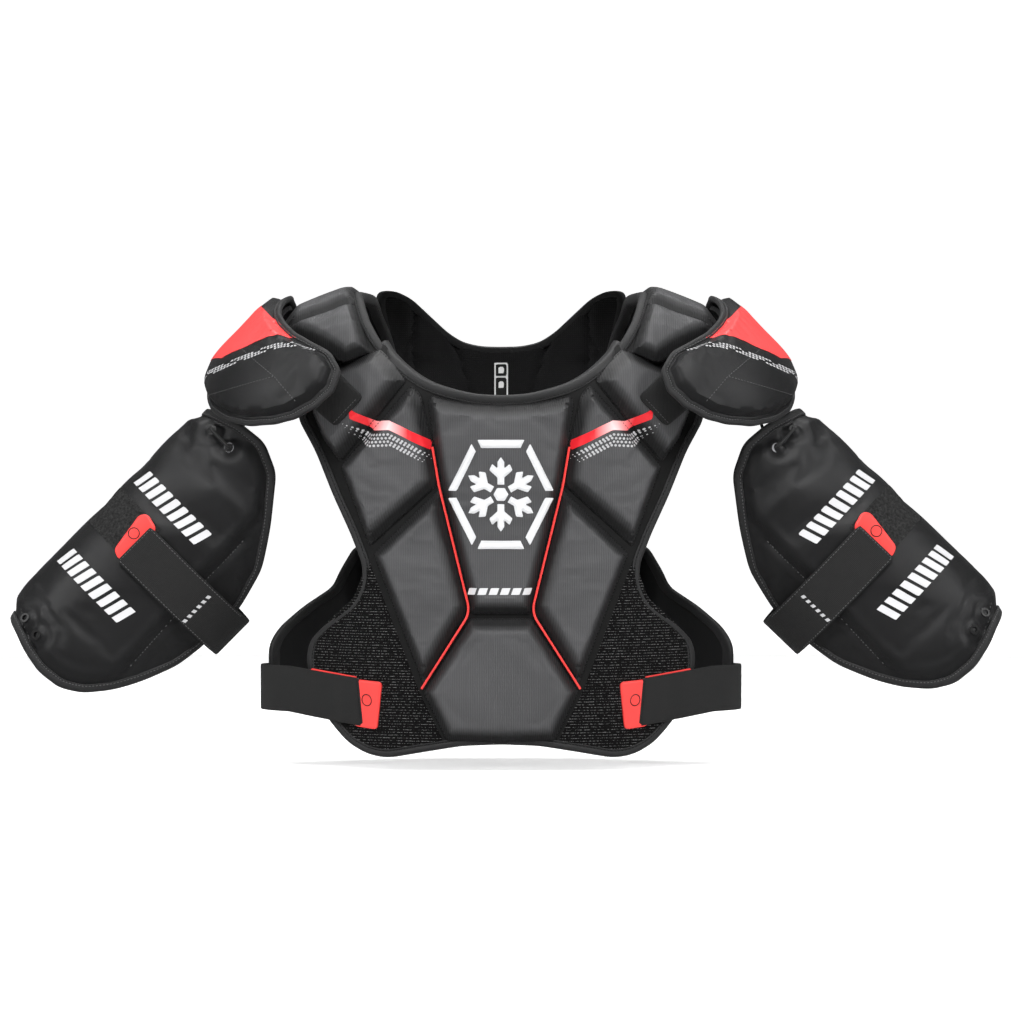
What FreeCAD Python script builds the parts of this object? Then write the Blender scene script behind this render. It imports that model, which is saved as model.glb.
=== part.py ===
"""Ice hockey shoulder pads, senior size, in the shape they take on the wearer.

Millimetres, +Z up. The wearer faces -Y and the origin is the base of the neck, so the left pieces
named here lie on -X, as seen from the front. The chest and the back follow two upright cylinders,
the yokes follow an arch over each shoulder, each cap is cut from a sphere and each upper arm guard
from an elliptical tube that hangs under its cap.
"""
import FreeCAD, Part
import math
import os

Vector = FreeCAD.Vector
Rotation = FreeCAD.Rotation
Placement = FreeCAD.Placement

DIMENSIONS = {
    "chest_radius": 230, "chest_axis_y": 96,
    "back_radius": 262, "back_axis_y": -142,
    "form_height": 460, "form_bottom": -430, "form_depth": 300,
    "pad_thickness": 15, "liner_thickness": 3.5, "wing_thickness": 5, "layer_gap": 0.3,
    "seam_inset": 0.8, "binding_width": 6,
    "badge_radius": 49, "badge_height": -164, "badge_thickness": 1.8,
    "plate_thickness": 2, "piping_radius": 1.6,
    "yoke_radius": 92, "yoke_axis_z": -70, "yoke_pad_thickness": 12, "yoke_taper": 0.39,
    "yoke_flat_end": 135, "yoke_outer_end": 182, "yoke_inner_end": 120,
    "cap_radius": 119, "cap_centre_x": 150, "cap_centre_z": -97,
    "cap_cover_thickness": 5, "cap_insert_thickness": 2.5, "cap_liner_thickness": 4,
    "guard_half_width": 80, "guard_half_depth": 50, "guard_axis_x": 54, "guard_back_width": 60,
    "guard_cover_thickness": 6, "guard_insert_thickness": 2.5, "guard_liner_thickness": 6,
    "guard_top_z": -108, "guard_left_x": -251, "guard_right_x": 254,
    "guard_left_angle": 44.7, "guard_right_angle": 46.2,
    "strap_thickness": 2.5, "strap_width": 43, "strap_lift": 2.2, "tab_thickness": 2.4,
    "side_strap_top": -316, "side_x": 216, "side_y": 11,
    "lace_radius": 1.5, "eyelet_hole": 2.5, "eyelet_flange": 4.4,
    "hanger_radius": 3, "hanger_height": 21.3, "hanger_length": 22,
}

CENTRE_TOP = [(0, -77), (-29, -74), (-52, -67), (-75, -58), (-92, -46)]
ARMHOLE = [(-104, -44), (-142, -47), (-166, -56), (-180, -78), (-184, -97), (-167, -127),
           (-151, -166), (-135, -200), (-124, -228), (-124, -244), (-132, -263)]
WING_EDGE = [(-159, -284), (-173, -299), (-175.5, -315), (-170, -346), (-152, -372),
             (-137, -388), (-120, -397), (-103, -400), (-71, -394), (-35, -388)]
CHEST_EDGE = CENTRE_TOP + ARMHOLE + WING_EDGE + [(0, -386.6)]
STERNUM_EDGE = [(0, -82), (-72, -71.5), (-63, -120), (-56.7, -154), (-29.7, -264), (-28, -271), (0, -271)]
BELLY_EDGE = [(0, -275), (-29.7, -275), (-73, -340.6), (-50.4, -384.7), (0, -386)]
RIB_EDGE = [(-119.7, -218), (-57.6, -159.7), (-30.6, -264), (-33.3, -272), (-72, -336)]
CHEST_PAD_EDGE = [(-78.3, -73.3), (-63, -122), (-58.5, -155), (-123.3, -212), (-146.7, -143.5)]
COLLAR_EDGE = [(-140.4, -50), (-114.3, -43), (-89.1, -66), (-150.3, -136.3), (-167.4, -116.5),
               (-178.2, -91.3), (-164.7, -60)]
WING_PAD_EDGE = [(-119.7, -221), (-73, -341.5), (-50.4, -386.5), (-60, -410), (-190, -410),
                 (-190, -270), (-121, -232)]
PIPING_PATH = [(-63, -122), (-57, -156.5), (-29.5, -265), (-31, -273.5), (-73, -338)]
PLATE_EDGE = [(0, -96), (-44, -96), (-40, -150), (-20, -240), (0, -240)]

BACK_EDGE = [(0, -38), (-22, -37), (-40, -32), (-54, -23), (-66, -14), (-76, -11), (-84, -18), (-89, -39),
             (-130, -46), (-160, -56), (-172, -90), (-158, -140), (-140, -190), (-133, -222),
             (-122, -340), (-60, -352), (0, -354)]
CENTRE_BACK_EDGE = [(0, -62), (-36, -62), (-31, -206), (-118, -216), (-110, -336), (0, -344)]
BLADE_EDGE = [(-42, -62), (-118, -56), (-156, -72), (-146, -140), (-126, -196), (-37, -206)]
BACK_WING_EDGE = [(-62, -222), (-131, -214), (-150, -243), (-178, -266), (-195, -290), (-200, -306),
                  (-200, -356), (-150, -366), (-62, -342)]

CAP_EDGE = [(-204, 6), (-223, -1), (-239, -20), (-252, -39), (-265, -58), (-267, -76), (-261, -92),
            (-247, -100), (-226, -104), (-203, -102), (-184, -97), (-165, -86), (-150, -72),
            (-142.5, -56), (-152, -37), (-169, -28), (-185, -19), (-196, -8)]
GUARD_EDGE = [(-6, 0), (-17, -18), (-26, -36), (-26, -120), (-26, -230), (-18, -253), (4, -268),
              (31, -273), (60, -270), (80, -257), (96, -237), (110, -212), (123, -180), (127, -153),
              (127, -106), (117, -66), (93, -38), (56, -3), (30, 8), (6, 8)]
COLLAR = {"reach": 92, "bottom": -60}
LABEL = {"half_width": 5, "height": 26, "bottom": -76, "gap": 0.8}
CAP_STRAP_EDGE = [(-142.2, -60.7), (-122.4, -77.8), (-146.7, -104.8), (-166.5, -88.6)]
LOOP_PATCH = {"left": -27, "right": 25, "top": -101, "bottom": -146}
GUARD_STRAP = {"left": 6, "right": 128, "top": -107, "bottom": -150}
TAB_EDGE = [(-11, -16), (11, -19), (9, 19), (-5, 21)]
UPPER_EYELETS = [(-6, -7), (16, -7)]
LOWER_EYELETS = [(-7, -246), (11, -249)]
LACE_ABOVE = [(15, -31, 8), (5, -28.5, 26.1), (-5, -26.5, 26.1), (-9, -24, 8)]
SIDE_STRAP_END = 109
TAB_FROM_STRAP_END = 10
SEWN_END_ANGLES = (0.01, 0.5, 1.05)
SIDE_STRAP_LEAVES_CHEST = 150

SIDES = {"left": 1, "right": -1}
YOKE_SECTORS = {"front": (36, 66), "top": (-34, 34), "rear": (-38, -72)}

document = FreeCAD.newDocument("ShoulderPads")
sheet = document.addObject("Spreadsheet::Sheet", "Dims")
nodes = []


def fill_sheet():
    """Every driving dimension gets a cell of its own with its name as the alias."""
    for row, (alias, value) in enumerate(DIMENSIONS.items(), start=1):
        sheet.set(f"A{row}", alias)
        sheet.set(f"B{row}", str(value))
        sheet.setAlias(f"B{row}", alias)
    document.recompute()


def size(alias):
    """The value of a driving dimension, read back from the sheet."""
    return float(sheet.get(alias))


def add(kind, name, **properties):
    """A new document object with its properties set."""
    item = document.addObject(kind, name)
    for key, value in properties.items():
        setattr(item, key, value)
    return item


def bind(item, **expressions):
    """Tie properties of an object to the sheet."""
    for key, expression in expressions.items():
        item.setExpression(key, expression)
    return item


def node(item, name):
    """Mark an object as a finished sub-part that is written to its own file."""
    item.Label = name
    nodes.append(item)
    return item


def flipped(points, sign):
    """Points given for the left side, turned over for the right one."""
    return [(sign * x, z) for x, z in points]


def whole(points):
    """A closed outline from its left half, which starts and ends on the middle line."""
    return points + [(-x, z) for x, z in reversed(points[1:-1])]


def inset(points, distance):
    """The outline moved inwards by a distance, edge by edge."""
    count = len(points)
    area = sum(points[i - 1][0] * points[i][1] - points[i][0] * points[i - 1][1] for i in range(count))
    inward = math.copysign(distance, area)
    moved = []
    for i in range(count):
        before, here, after = points[i - 1], points[i], points[(i + 1) % count]
        first = Vector(here[0] - before[0], here[1] - before[1], 0).normalize()
        second = Vector(after[0] - here[0], after[1] - here[1], 0).normalize()
        corner = Vector(-first.y - second.y, first.x + second.x, 0)
        reach = inward / max(0.5, (1 + first.dot(second)) / 2) / 2
        moved.append((here[0] + corner.x * reach, here[1] + corner.y * reach))
    return moved


def outline(name, points, smooth=False):
    """A sketch in the XZ plane, with straight sides or one closed curve through the points."""
    sketch = add("Sketcher::SketchObject", name)
    sketch.Placement = Placement(Vector(), Rotation(Vector(1, 0, 0), 90))
    corners = [Vector(x, z, 0) for x, z in points]
    if smooth:
        curve = Part.BSplineCurve()
        curve.interpolate(corners, PeriodicFlag=True)
        sketch.addGeometry(curve)
    else:
        for i, corner in enumerate(corners):
            sketch.addGeometry(Part.LineSegment(corners[i - 1], corner))
    return sketch


def prism(name, sketch, direction=-1):
    """The outline extruded along Y, to the front for -1, to the back for 1, both ways for 0."""
    item = add("Part::Extrusion", name, Base=sketch, DirMode="Custom", Solid=True,
               FaceMakerClass="Part::FaceMakerBullseye", Dir=Vector(0, direction or -1, 0))
    bind(item, LengthFwd="Dims.form_depth")
    if direction == 0:
        bind(item, LengthRev="Dims.form_depth")
    return item


def upright_shell(name, axis_y, inner, outer):
    """A tube about an upright axis: the form of the chest or of the back."""
    drums = []
    for part, radius in (("Inner", inner), ("Outer", outer)):
        drum = add("Part::Cylinder", name + part)
        bind(drum, Radius=radius, Height="Dims.form_height")
        drum.Placement.Base = Vector(0, size(axis_y), size("form_bottom"))
        drums.append(drum)
    return add("Part::Cut", name, Base=drums[1], Tool=drums[0])


def common(name, *shapes):
    """What all the shapes share."""
    return add("Part::MultiCommon", name, Shapes=list(shapes))


def chest_layer(name, inner, outer):
    """A layer of the chest, given as depths below the face of the pads."""
    return upright_shell(name, "chest_axis_y", f"Dims.chest_radius - ({inner})",
                         f"Dims.chest_radius - ({outer})")


def build_chest():
    """The front panel: a liner, a hard plate, foam blocks, loop wings, piping, a badge and binding."""
    liner = chest_layer("ChestLinerLayer", "Dims.pad_thickness + Dims.layer_gap + Dims.liner_thickness",
                        "Dims.pad_thickness + Dims.layer_gap")
    foam = chest_layer("ChestFoamLayer", "Dims.pad_thickness", "0")
    wing = chest_layer("ChestWingLayer", "Dims.pad_thickness", "Dims.pad_thickness - Dims.wing_thickness")
    tape = chest_layer("ChestTapeLayer", "Dims.pad_thickness + Dims.liner_thickness + 1",
                       "Dims.pad_thickness - Dims.wing_thickness")
    edge = whole(CHEST_EDGE)
    inner_edge = inset(edge, size("binding_width"))
    panel = prism("ChestPanel", outline("ChestEdge", edge))
    inside = prism("ChestInside", outline("ChestInnerEdge", inner_edge))
    node(common("ChestLiner", inside, liner), "chest_liner")
    ring = add("Part::Cut", "ChestRing", Base=panel, Tool=inside)
    node(common("ChestBinding", ring, tape), "chest_binding")
    plate_seat = add_plate()
    blocks = [("sternum_pad", whole(STERNUM_EDGE)), ("belly_pad", whole(BELLY_EDGE))]
    for side, sign in SIDES.items():
        blocks.append((side + "_rib_pad", flipped(RIB_EDGE, sign)))
        blocks.append((side + "_chest_pad", flipped(CHEST_PAD_EDGE, sign)))
        blocks.append((side + "_collar_pad", flipped(COLLAR_EDGE, sign)))
        wing_prism = prism(side + "WingPrism", outline(side + "WingEdge", flipped(WING_PAD_EDGE, sign)))
        node(common(side + "Wing", wing_prism, inside, wing), side + "_loop_wing")
    for name, points in blocks:
        block = prism(name + "Prism", outline(name + "Edge", inset(points, size("seam_inset"))))
        pad = common(name + "Block", block, inside, foam)
        if name == "sternum_pad":
            pad = add("Part::Cut", "SternumPad", Base=pad, Tool=plate_seat)
        node(pad, name)


def add_plate():
    """The hard plate moulded into the sternum pad; returns the room it needs in the foam."""
    middle = "(Dims.pad_thickness / 2)"
    half = "Dims.plate_thickness / 2"
    layer = chest_layer("PlateLayer", f"{middle} + {half}", f"{middle} - {half}")
    room_half = f"({half} + Dims.layer_gap)"
    seat = chest_layer("PlateSeatLayer", f"{middle} + {room_half}", f"{middle} - {room_half}")
    plate = prism("PlatePrism", outline("PlateEdge", whole(PLATE_EDGE)))
    room = prism("PlateRoomPrism", outline("PlateRoomEdge", inset(whole(PLATE_EDGE), -size("layer_gap"))))
    node(common("SternumPlate", plate, layer), "sternum_plate")
    return common("PlateRoom", room, seat)


def build_chest_trim():
    """The raised badge on the sternum pad and the red piping beside it."""
    layer = chest_layer("BadgeLayer", "-Dims.layer_gap / 3", "-Dims.badge_thickness")
    disc = add("Part::Cylinder", "BadgeDisc")
    bind(disc, Radius="Dims.badge_radius", Height="Dims.form_depth")
    disc.Placement = Placement(Vector(0, 0, size("badge_height")), Rotation(Vector(1, 0, 0), 90))
    node(common("Badge", disc, layer), "emblem_badge")
    width = 2 * size("piping_radius")
    bed = chest_layer("PipingLayer", "-Dims.layer_gap / 3", "-Dims.piping_radius")
    strips = []
    for side, sign in SIDES.items():
        path = flipped(PIPING_PATH, sign)
        other_edge = [(x + width, z) for x, z in reversed(path)]
        strips.append(prism(side + "Piping", outline(side + "PipingEdge", path + other_edge)))
    pair = add("Part::MultiFuse", "PipingPair", Shapes=strips)
    node(common("Piping", pair, bed), "red_piping")


def back_layer(name, inner, outer):
    """A layer of the back, given as depths below the face of the pads."""
    return upright_shell(name, "back_axis_y", f"Dims.back_radius - ({inner})",
                         f"Dims.back_radius - ({outer})")


def build_back():
    """The rear panel: a liner, foam pads, the wings that carry the side straps, binding and a label."""
    liner = back_layer("BackLinerLayer", "Dims.pad_thickness + Dims.layer_gap + Dims.liner_thickness",
                       "Dims.pad_thickness + Dims.layer_gap")
    foam = back_layer("BackFoamLayer", "Dims.pad_thickness", "0")
    wing = back_layer("BackWingLayer", "-Dims.layer_gap", "-Dims.layer_gap - Dims.wing_thickness")
    tape = back_layer("BackTapeLayer", "Dims.pad_thickness + Dims.liner_thickness + 2",
                      "Dims.pad_thickness - 2")
    edge = whole(BACK_EDGE)
    inner_edge = inset(edge, size("binding_width"))
    panel = prism("BackPanel", outline("BackEdge", edge), 1)
    inside = prism("BackInside", outline("BackInnerEdge", inner_edge), 1)
    node(common("BackLiner", inside, liner), "back_liner")
    ring = add("Part::Cut", "BackRing", Base=panel, Tool=inside)
    depth = size("form_depth")
    collar = add("Part::Box", "CollarRegion", Length=2 * COLLAR["reach"], Width=depth, Height=depth)
    collar.Placement.Base = Vector(-COLLAR["reach"], 0, COLLAR["bottom"])
    node(common("NeckBinding", ring, collar, tape), "neck_binding")
    pads = [("back_centre_pad", whole(CENTRE_BACK_EDGE))]
    for side, sign in SIDES.items():
        pads.append((side + "_shoulder_blade_pad", flipped(BLADE_EDGE, sign)))
        wing_edge = outline(side + "BackWingEdge", flipped(BACK_WING_EDGE, sign))
        wing_prism = prism(side + "BackWingPrism", wing_edge, 1)
        node(common(side + "BackWing", wing_prism, wing), side + "_back_wing")
    for name, points in pads:
        block = prism(name + "Prism", outline(name + "Edge", inset(points, size("seam_inset"))), 1)
        node(common(name + "Block", block, foam), name)
    add_label()


def add_label():
    """The size label sewn inside the collar."""
    body = add("PartDesign::Body", "SizeLabelBody")
    plane = next(f for f in body.Origin.OriginFeatures if f.Role == "XZ_Plane")
    sketch = body.newObject("Sketcher::SketchObject", "SizeLabelSketch")
    sketch.AttachmentSupport = [(plane, "")]
    sketch.MapMode = "FlatFace"
    right, top = LABEL["half_width"], LABEL["height"]
    corners = [Vector(-right, 0, 0), Vector(right, 0, 0), Vector(right, top, 0), Vector(-right, top, 0)]
    for i, corner in enumerate(corners):
        sketch.addGeometry(Part.LineSegment(corners[i - 1], corner))
    pad = body.newObject("PartDesign::Pad", "SizeLabelPad")
    pad.Profile = sketch
    bind(pad, Length="Dims.layer_gap * 2")
    liner_face = size("back_axis_y") + size("back_radius") - size("pad_thickness") - size("liner_thickness")
    body.Placement.Base = Vector(0, liner_face - LABEL["gap"], LABEL["bottom"])
    node(body, "size_label")


def yoke_profile(side, outer_depth, inner_depth, inner_x):
    """The section of a yoke layer above its axis: flat over the shoulder, then tapering outwards."""
    radius = size("yoke_radius")
    drop = size("yoke_taper") * (size("yoke_outer_end") - size("yoke_flat_end"))
    stations = [(inner_x, radius), (size("yoke_flat_end"), radius), (size("yoke_outer_end"), radius - drop)]
    top = [(-x, r - outer_depth + size("yoke_axis_z")) for x, r in stations]
    bottom = [(-x, r - inner_depth + size("yoke_axis_z")) for x, r in reversed(stations)]
    return flipped(top + bottom, SIDES[side])


def yoke_sector(name, points, start, end):
    """A yoke profile swept about the axis across the shoulders, angles from the top towards the front."""
    sketch = outline(name + "Profile", points)
    item = add("Part::Revolution", name, Source=sketch, Axis=Vector(1, 0, 0), Angle=end - start,
               Base=Vector(0, 0, size("yoke_axis_z")), Solid=True)
    swing = Rotation(Vector(1, 0, 0), start)
    centre = Vector(0, 0, size("yoke_axis_z"))
    sketch.Placement = Placement(centre - swing.multVec(centre), swing) * sketch.Placement
    return item


def build_yokes():
    """Over each shoulder a liner with three foam pads, so the yoke can bend between them."""
    pad = size("yoke_pad_thickness")
    inner = size("yoke_inner_end")
    for side in SIDES:
        lining = yoke_profile(side, pad + 0.3, pad + size("liner_thickness"), inner)
        node(yoke_sector(side + "YokeLiner", lining, -70, 66), side + "_yoke_liner")
        pads = []
        for name, (start, end) in YOKE_SECTORS.items():
            reach = inner - 24 if name == "rear" else inner
            section = yoke_profile(side, 0, pad, reach)
            pads.append(yoke_sector(side + name + "YokePad", section, min(start, end), max(start, end)))
        node(add("Part::Compound", side + "YokePads", Links=pads), side + "_yoke_pads")


def build_caps():
    """Each shoulder cap: a padded cover over a hard insert and a liner, all cut from one sphere."""
    layers = {
        "cap_cover": ("0", "Dims.cap_cover_thickness", 0),
        "cap_insert": ("Dims.cap_cover_thickness + Dims.layer_gap",
                       "Dims.cap_cover_thickness + Dims.layer_gap + Dims.cap_insert_thickness", 9),
        "cap_liner": ("Dims.cap_cover_thickness + Dims.cap_insert_thickness + 2 * Dims.layer_gap",
                      "Dims.cap_cover_thickness + Dims.cap_insert_thickness + Dims.cap_liner_thickness"
                      " + 2 * Dims.layer_gap", 4),
    }
    for side, sign in SIDES.items():
        for name, (outer, inner, margin) in layers.items():
            balls = []
            for part, depth in (("Outer", outer), ("Inner", inner)):
                ball = add("Part::Sphere", side + name + part)
                bind(ball, Radius=f"Dims.cap_radius - ({depth})")
                ball.Placement.Base = Vector(-sign * size("cap_centre_x"), 0, size("cap_centre_z"))
                balls.append(ball)
            shell = add("Part::Cut", side + name + "Shell", Base=balls[0], Tool=balls[1])
            edge = outline(side + name + "Edge", inset(flipped(CAP_EDGE, sign), margin), smooth=True)
            node(common(side + name, prism(side + name + "Prism", edge, 0), shell), side + "_" + name)


def guard_frame(side):
    """Where an upper arm guard hangs: local -Z runs down the arm and local X towards the body."""
    sign = SIDES[side]
    place = Vector(size(f"guard_{side}_x"), 0, size("guard_top_z"))
    return Placement(place, Rotation(Vector(0, 1, 0), sign * size(f"guard_{side}_angle")))


def guard_tube(name, sign, outer, inner):
    """An elliptical tube along the arm, its walls given as depths below the face of the guard."""
    sketch = add("Sketcher::SketchObject", name + "Rings")
    centre = Vector(sign * size("guard_axis_x"), 0, 0)
    for depth in (outer, inner):
        wide = size("guard_half_width") - depth
        deep = size("guard_half_depth") - depth
        sketch.addGeometry(Part.Ellipse(centre + Vector(wide, 0, 0), centre + Vector(0, deep, 0), centre))
    item = add("Part::Extrusion", name, Base=sketch, DirMode="Custom", Dir=Vector(0, 0, 1), Solid=True,
               FaceMakerClass="Part::FaceMakerBullseye")
    return bind(item, LengthFwd="Dims.form_depth", LengthRev="Dims.form_depth")


def guard_surface(x, depth=0):
    """A point on the front of the guard above local x, and the outward direction there."""
    wide = size("guard_half_width") - depth
    deep = size("guard_half_depth") - depth
    across = x - size("guard_axis_x")
    y = -deep * math.sqrt(1 - (across / wide) ** 2)
    return y, Vector(across / wide ** 2, y / deep ** 2, 0).normalize()


def region(name, left, right, front, back, bottom, top, sign=1):
    """A box from its limits, turned over for the right side."""
    box = add("Part::Box", name, Length=right - left, Width=back - front, Height=top - bottom)
    box.Placement.Base = Vector(left if sign > 0 else -right, front, bottom)
    return box


def build_guards():
    """Each upper arm guard: cover, hard insert and liner, with eyelets, a loop patch, lace and hanger."""
    reach = size("form_depth")
    cover = size("guard_cover_thickness")
    insert = size("guard_insert_thickness")
    liner = size("guard_liner_thickness")
    gap = size("layer_gap")
    layers = {"guard_cover": (0, cover, 0), "guard_insert": (cover + gap, cover + gap + insert, 18),
              "guard_liner": (cover + insert + 2 * gap, cover + insert + liner + 2 * gap, 16)}
    for side, sign in SIDES.items():
        frame = guard_frame(side)
        open_back = region(side + "OpenBack", size("guard_back_width"), reach, 0, reach, -reach, reach, sign)
        holes = guard_holes(side, sign)
        for name, (outer, inner, margin) in layers.items():
            tube = guard_tube(side + name + "Tube", sign, outer, inner)
            edge = outline(side + name + "Edge", inset(flipped(GUARD_EDGE, sign), margin), smooth=True)
            shell = common(side + name + "Shell", prism(side + name + "Prism", edge, 0), tube)
            item = add("Part::Cut", side + name + "Open", Base=shell, Tool=open_back)
            item = add("Part::Cut", side + name, Base=item, Tool=holes)
            item.Placement = frame
            node(item, side + "_" + name)
        tube = guard_tube(side + "PatchTube", sign, -gap - 1.5, -gap)
        window = region(side + "PatchWindow", LOOP_PATCH["left"], LOOP_PATCH["right"], -reach, 0,
                        LOOP_PATCH["bottom"], LOOP_PATCH["top"], sign)
        patch = common(side + "Patch", tube, window)
        patch.Placement = frame
        node(patch, side + "_loop_patch")
        add_eyelets(side, sign)
        add_lace(side, sign)
        add_hanger(side, sign)


def guard_holes(side, sign):
    """The holes for the eyelets, square to the face of the guard."""
    radius = size("eyelet_hole") + 1
    drills = []
    for index, (x, z) in enumerate(UPPER_EYELETS + LOWER_EYELETS):
        drill = add("Part::Cylinder", f"{side}Drill{index}", Radius=radius, Height=40)
        y, out = guard_surface(x)
        out = Vector(sign * out.x, out.y, 0)
        drill.Placement = Placement(Vector(sign * x, y, z) - out * 30, Rotation(Vector(0, 0, 1), out))
        drills.append(drill)
    return add("Part::Compound", side + "Drills", Links=drills)


def add_eyelets(side, sign):
    """Turned metal eyelets with a flange, each through the cover."""
    bore = size("eyelet_hole")
    length = size("guard_cover_thickness")
    profile = [(bore, -length), (bore + 0.9, -length), (bore + 0.9, 0.3), (size("eyelet_flange"), 0.3),
               (size("eyelet_flange"), 1.3), (bore, 1.3)]
    turned = []
    for index, (x, z) in enumerate(UPPER_EYELETS + LOWER_EYELETS):
        sketch = outline(f"{side}EyeletProfile{index}", profile)
        ring = add("Part::Revolution", f"{side}Eyelet{index}", Source=sketch, Axis=Vector(0, 0, 1), Angle=360,
                   Solid=True)
        y, out = guard_surface(x)
        out = Vector(sign * out.x, out.y, 0)
        ring.Placement = Placement(Vector(sign * x, y, z), Rotation(Vector(0, 0, 1), out))
        turned.append(ring)
    group = add("Part::Compound", side + "Eyelets", Links=turned)
    group.Placement = guard_frame(side)
    node(group, side + "_guard_eyelets")


def add_lace(side, sign):
    """The cord loop that runs through both upper eyelets and over the hanger."""
    points = []
    surfaces = [(x, z) + guard_surface(x) for x, z in UPPER_EYELETS]
    (x1, z1, y1, out1), (x2, z2, y2, out2) = surfaces
    first, second = Vector(x1, y1, z1), Vector(x2, y2, z2)
    points += [first + out1 * 4.4, second + out2 * 4.4, second - out2 * 10]
    points += [Vector(*p) for p in LACE_ABOVE]
    points += [first - out1 * 10]
    path = rounded_loop([Vector(sign * p.x, p.y, p.z) for p in points], 2.4)
    lace = add("Part::Feature", side + "Lace")
    runs = [round_bar(edge, size("lace_radius")) for edge in path.Edges]
    lace.Shape = runs[0].multiFuse(runs[1:])
    lace.Placement = guard_frame(side)
    node(lace, side + "_guard_lace")


def round_bar(edge, radius):
    """A round bar along one straight or curved edge."""
    start = edge.FirstParameter
    ring = Part.makeCircle(radius, edge.valueAt(start), edge.tangentAt(start))
    return Part.Wire(edge).makePipeShell([Part.Wire(ring)], True, False)


def rounded_loop(points, radius):
    """A closed path of straight runs joined by tangent arcs."""
    edges = []
    ends = []
    for i, here in enumerate(points):
        before = (points[i - 1] - here).normalize()
        after = (points[(i + 1) % len(points)] - here).normalize()
        half = before.getAngle(after) / 2
        start = here + before * (radius / math.tan(half))
        end = here + after * (radius / math.tan(half))
        bisector = (before + after).normalize()
        middle = here + bisector * (radius / math.sin(half) - radius)
        ends.append((start, middle, end))
    for i, (start, middle, end) in enumerate(ends):
        edges.append(Part.makeLine(ends[i - 1][2], start))
        edges.append(Part.Arc(start, middle, end).toShape())
    return Part.Wire(edges)


def add_hanger(side, sign):
    """The stiff webbing bar inside the cap that the lace hangs over."""
    bar = add("Part::Cylinder", side + "Hanger")
    bind(bar, Radius="Dims.hanger_radius", Height="Dims.hanger_length")
    inside = Placement(Vector(0, -18, size("hanger_height")), Rotation(Vector(1, 0, 0), 90))
    bar.Placement = guard_frame(side).multiply(inside)
    node(bar, side + "_hanger")


def build_guard_straps():
    """Each arm strap: the sewn part round the inner side and the free part across the front."""
    lift = size("strap_lift")
    thickness = size("strap_thickness")
    reach = size("form_depth")
    for side, sign in SIDES.items():
        frame = guard_frame(side)
        tube = guard_tube(side + "StrapTube", sign, -lift - thickness, -lift)
        bend = GUARD_STRAP["right"]
        free = region(side + "StrapFree", GUARD_STRAP["left"], bend, -reach, 0, GUARD_STRAP["bottom"],
                      GUARD_STRAP["top"], sign)
        sewn = region(side + "StrapSewn", bend + 0.3, reach, -reach, reach, GUARD_STRAP["bottom"],
                      GUARD_STRAP["top"], sign)
        behind = region(side + "StrapBehind", 20, bend + 1, 1, reach, GUARD_STRAP["bottom"],
                        GUARD_STRAP["top"], sign)
        both = add("Part::MultiFuse", side + "StrapSewnRegion", Shapes=[sewn, behind])
        for item, name in ((common(side + "StrapFront", tube, free), "_arm_strap"),
                           (common(side + "StrapRear", tube, both), "_arm_strap_sewn_end")):
            item.Placement = frame
            node(item, side + name)
        y, out = guard_surface(10, -lift - thickness - 0.6)
        out = Vector(sign * out.x, out.y, 0)
        local = Placement(Vector(sign * 10, y, -127), facing(out))
        add_tab(side + "_arm_strap_tab", sign, frame.multiply(local))


def facing(out):
    """The turn that stands a piece drawn facing -Y so that it faces a level direction."""
    return Rotation(Vector(0, -1, 0), out)


def add_tab(name, sign, place):
    """A rounded pull tab welded to a strap end, drawn facing -Y."""
    body = add("PartDesign::Body", name + "Body")
    plane = next(f for f in body.Origin.OriginFeatures if f.Role == "XZ_Plane")
    sketch = body.newObject("Sketcher::SketchObject", name + "Sketch")
    sketch.AttachmentSupport = [(plane, "")]
    sketch.MapMode = "FlatFace"
    corners = [Vector(x, z, 0) for x, z in flipped(TAB_EDGE, sign)]
    for i, corner in enumerate(corners):
        sketch.addGeometry(Part.LineSegment(corners[i - 1], corner))
    pad = body.newObject("PartDesign::Pad", name + "Pad")
    pad.Profile = sketch
    bind(pad, Length="Dims.tab_thickness")
    document.recompute()
    pad.Reversed = pad.Shape.BoundBox.YMax > 0.1
    body.Placement = place
    node(body, name)


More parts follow.
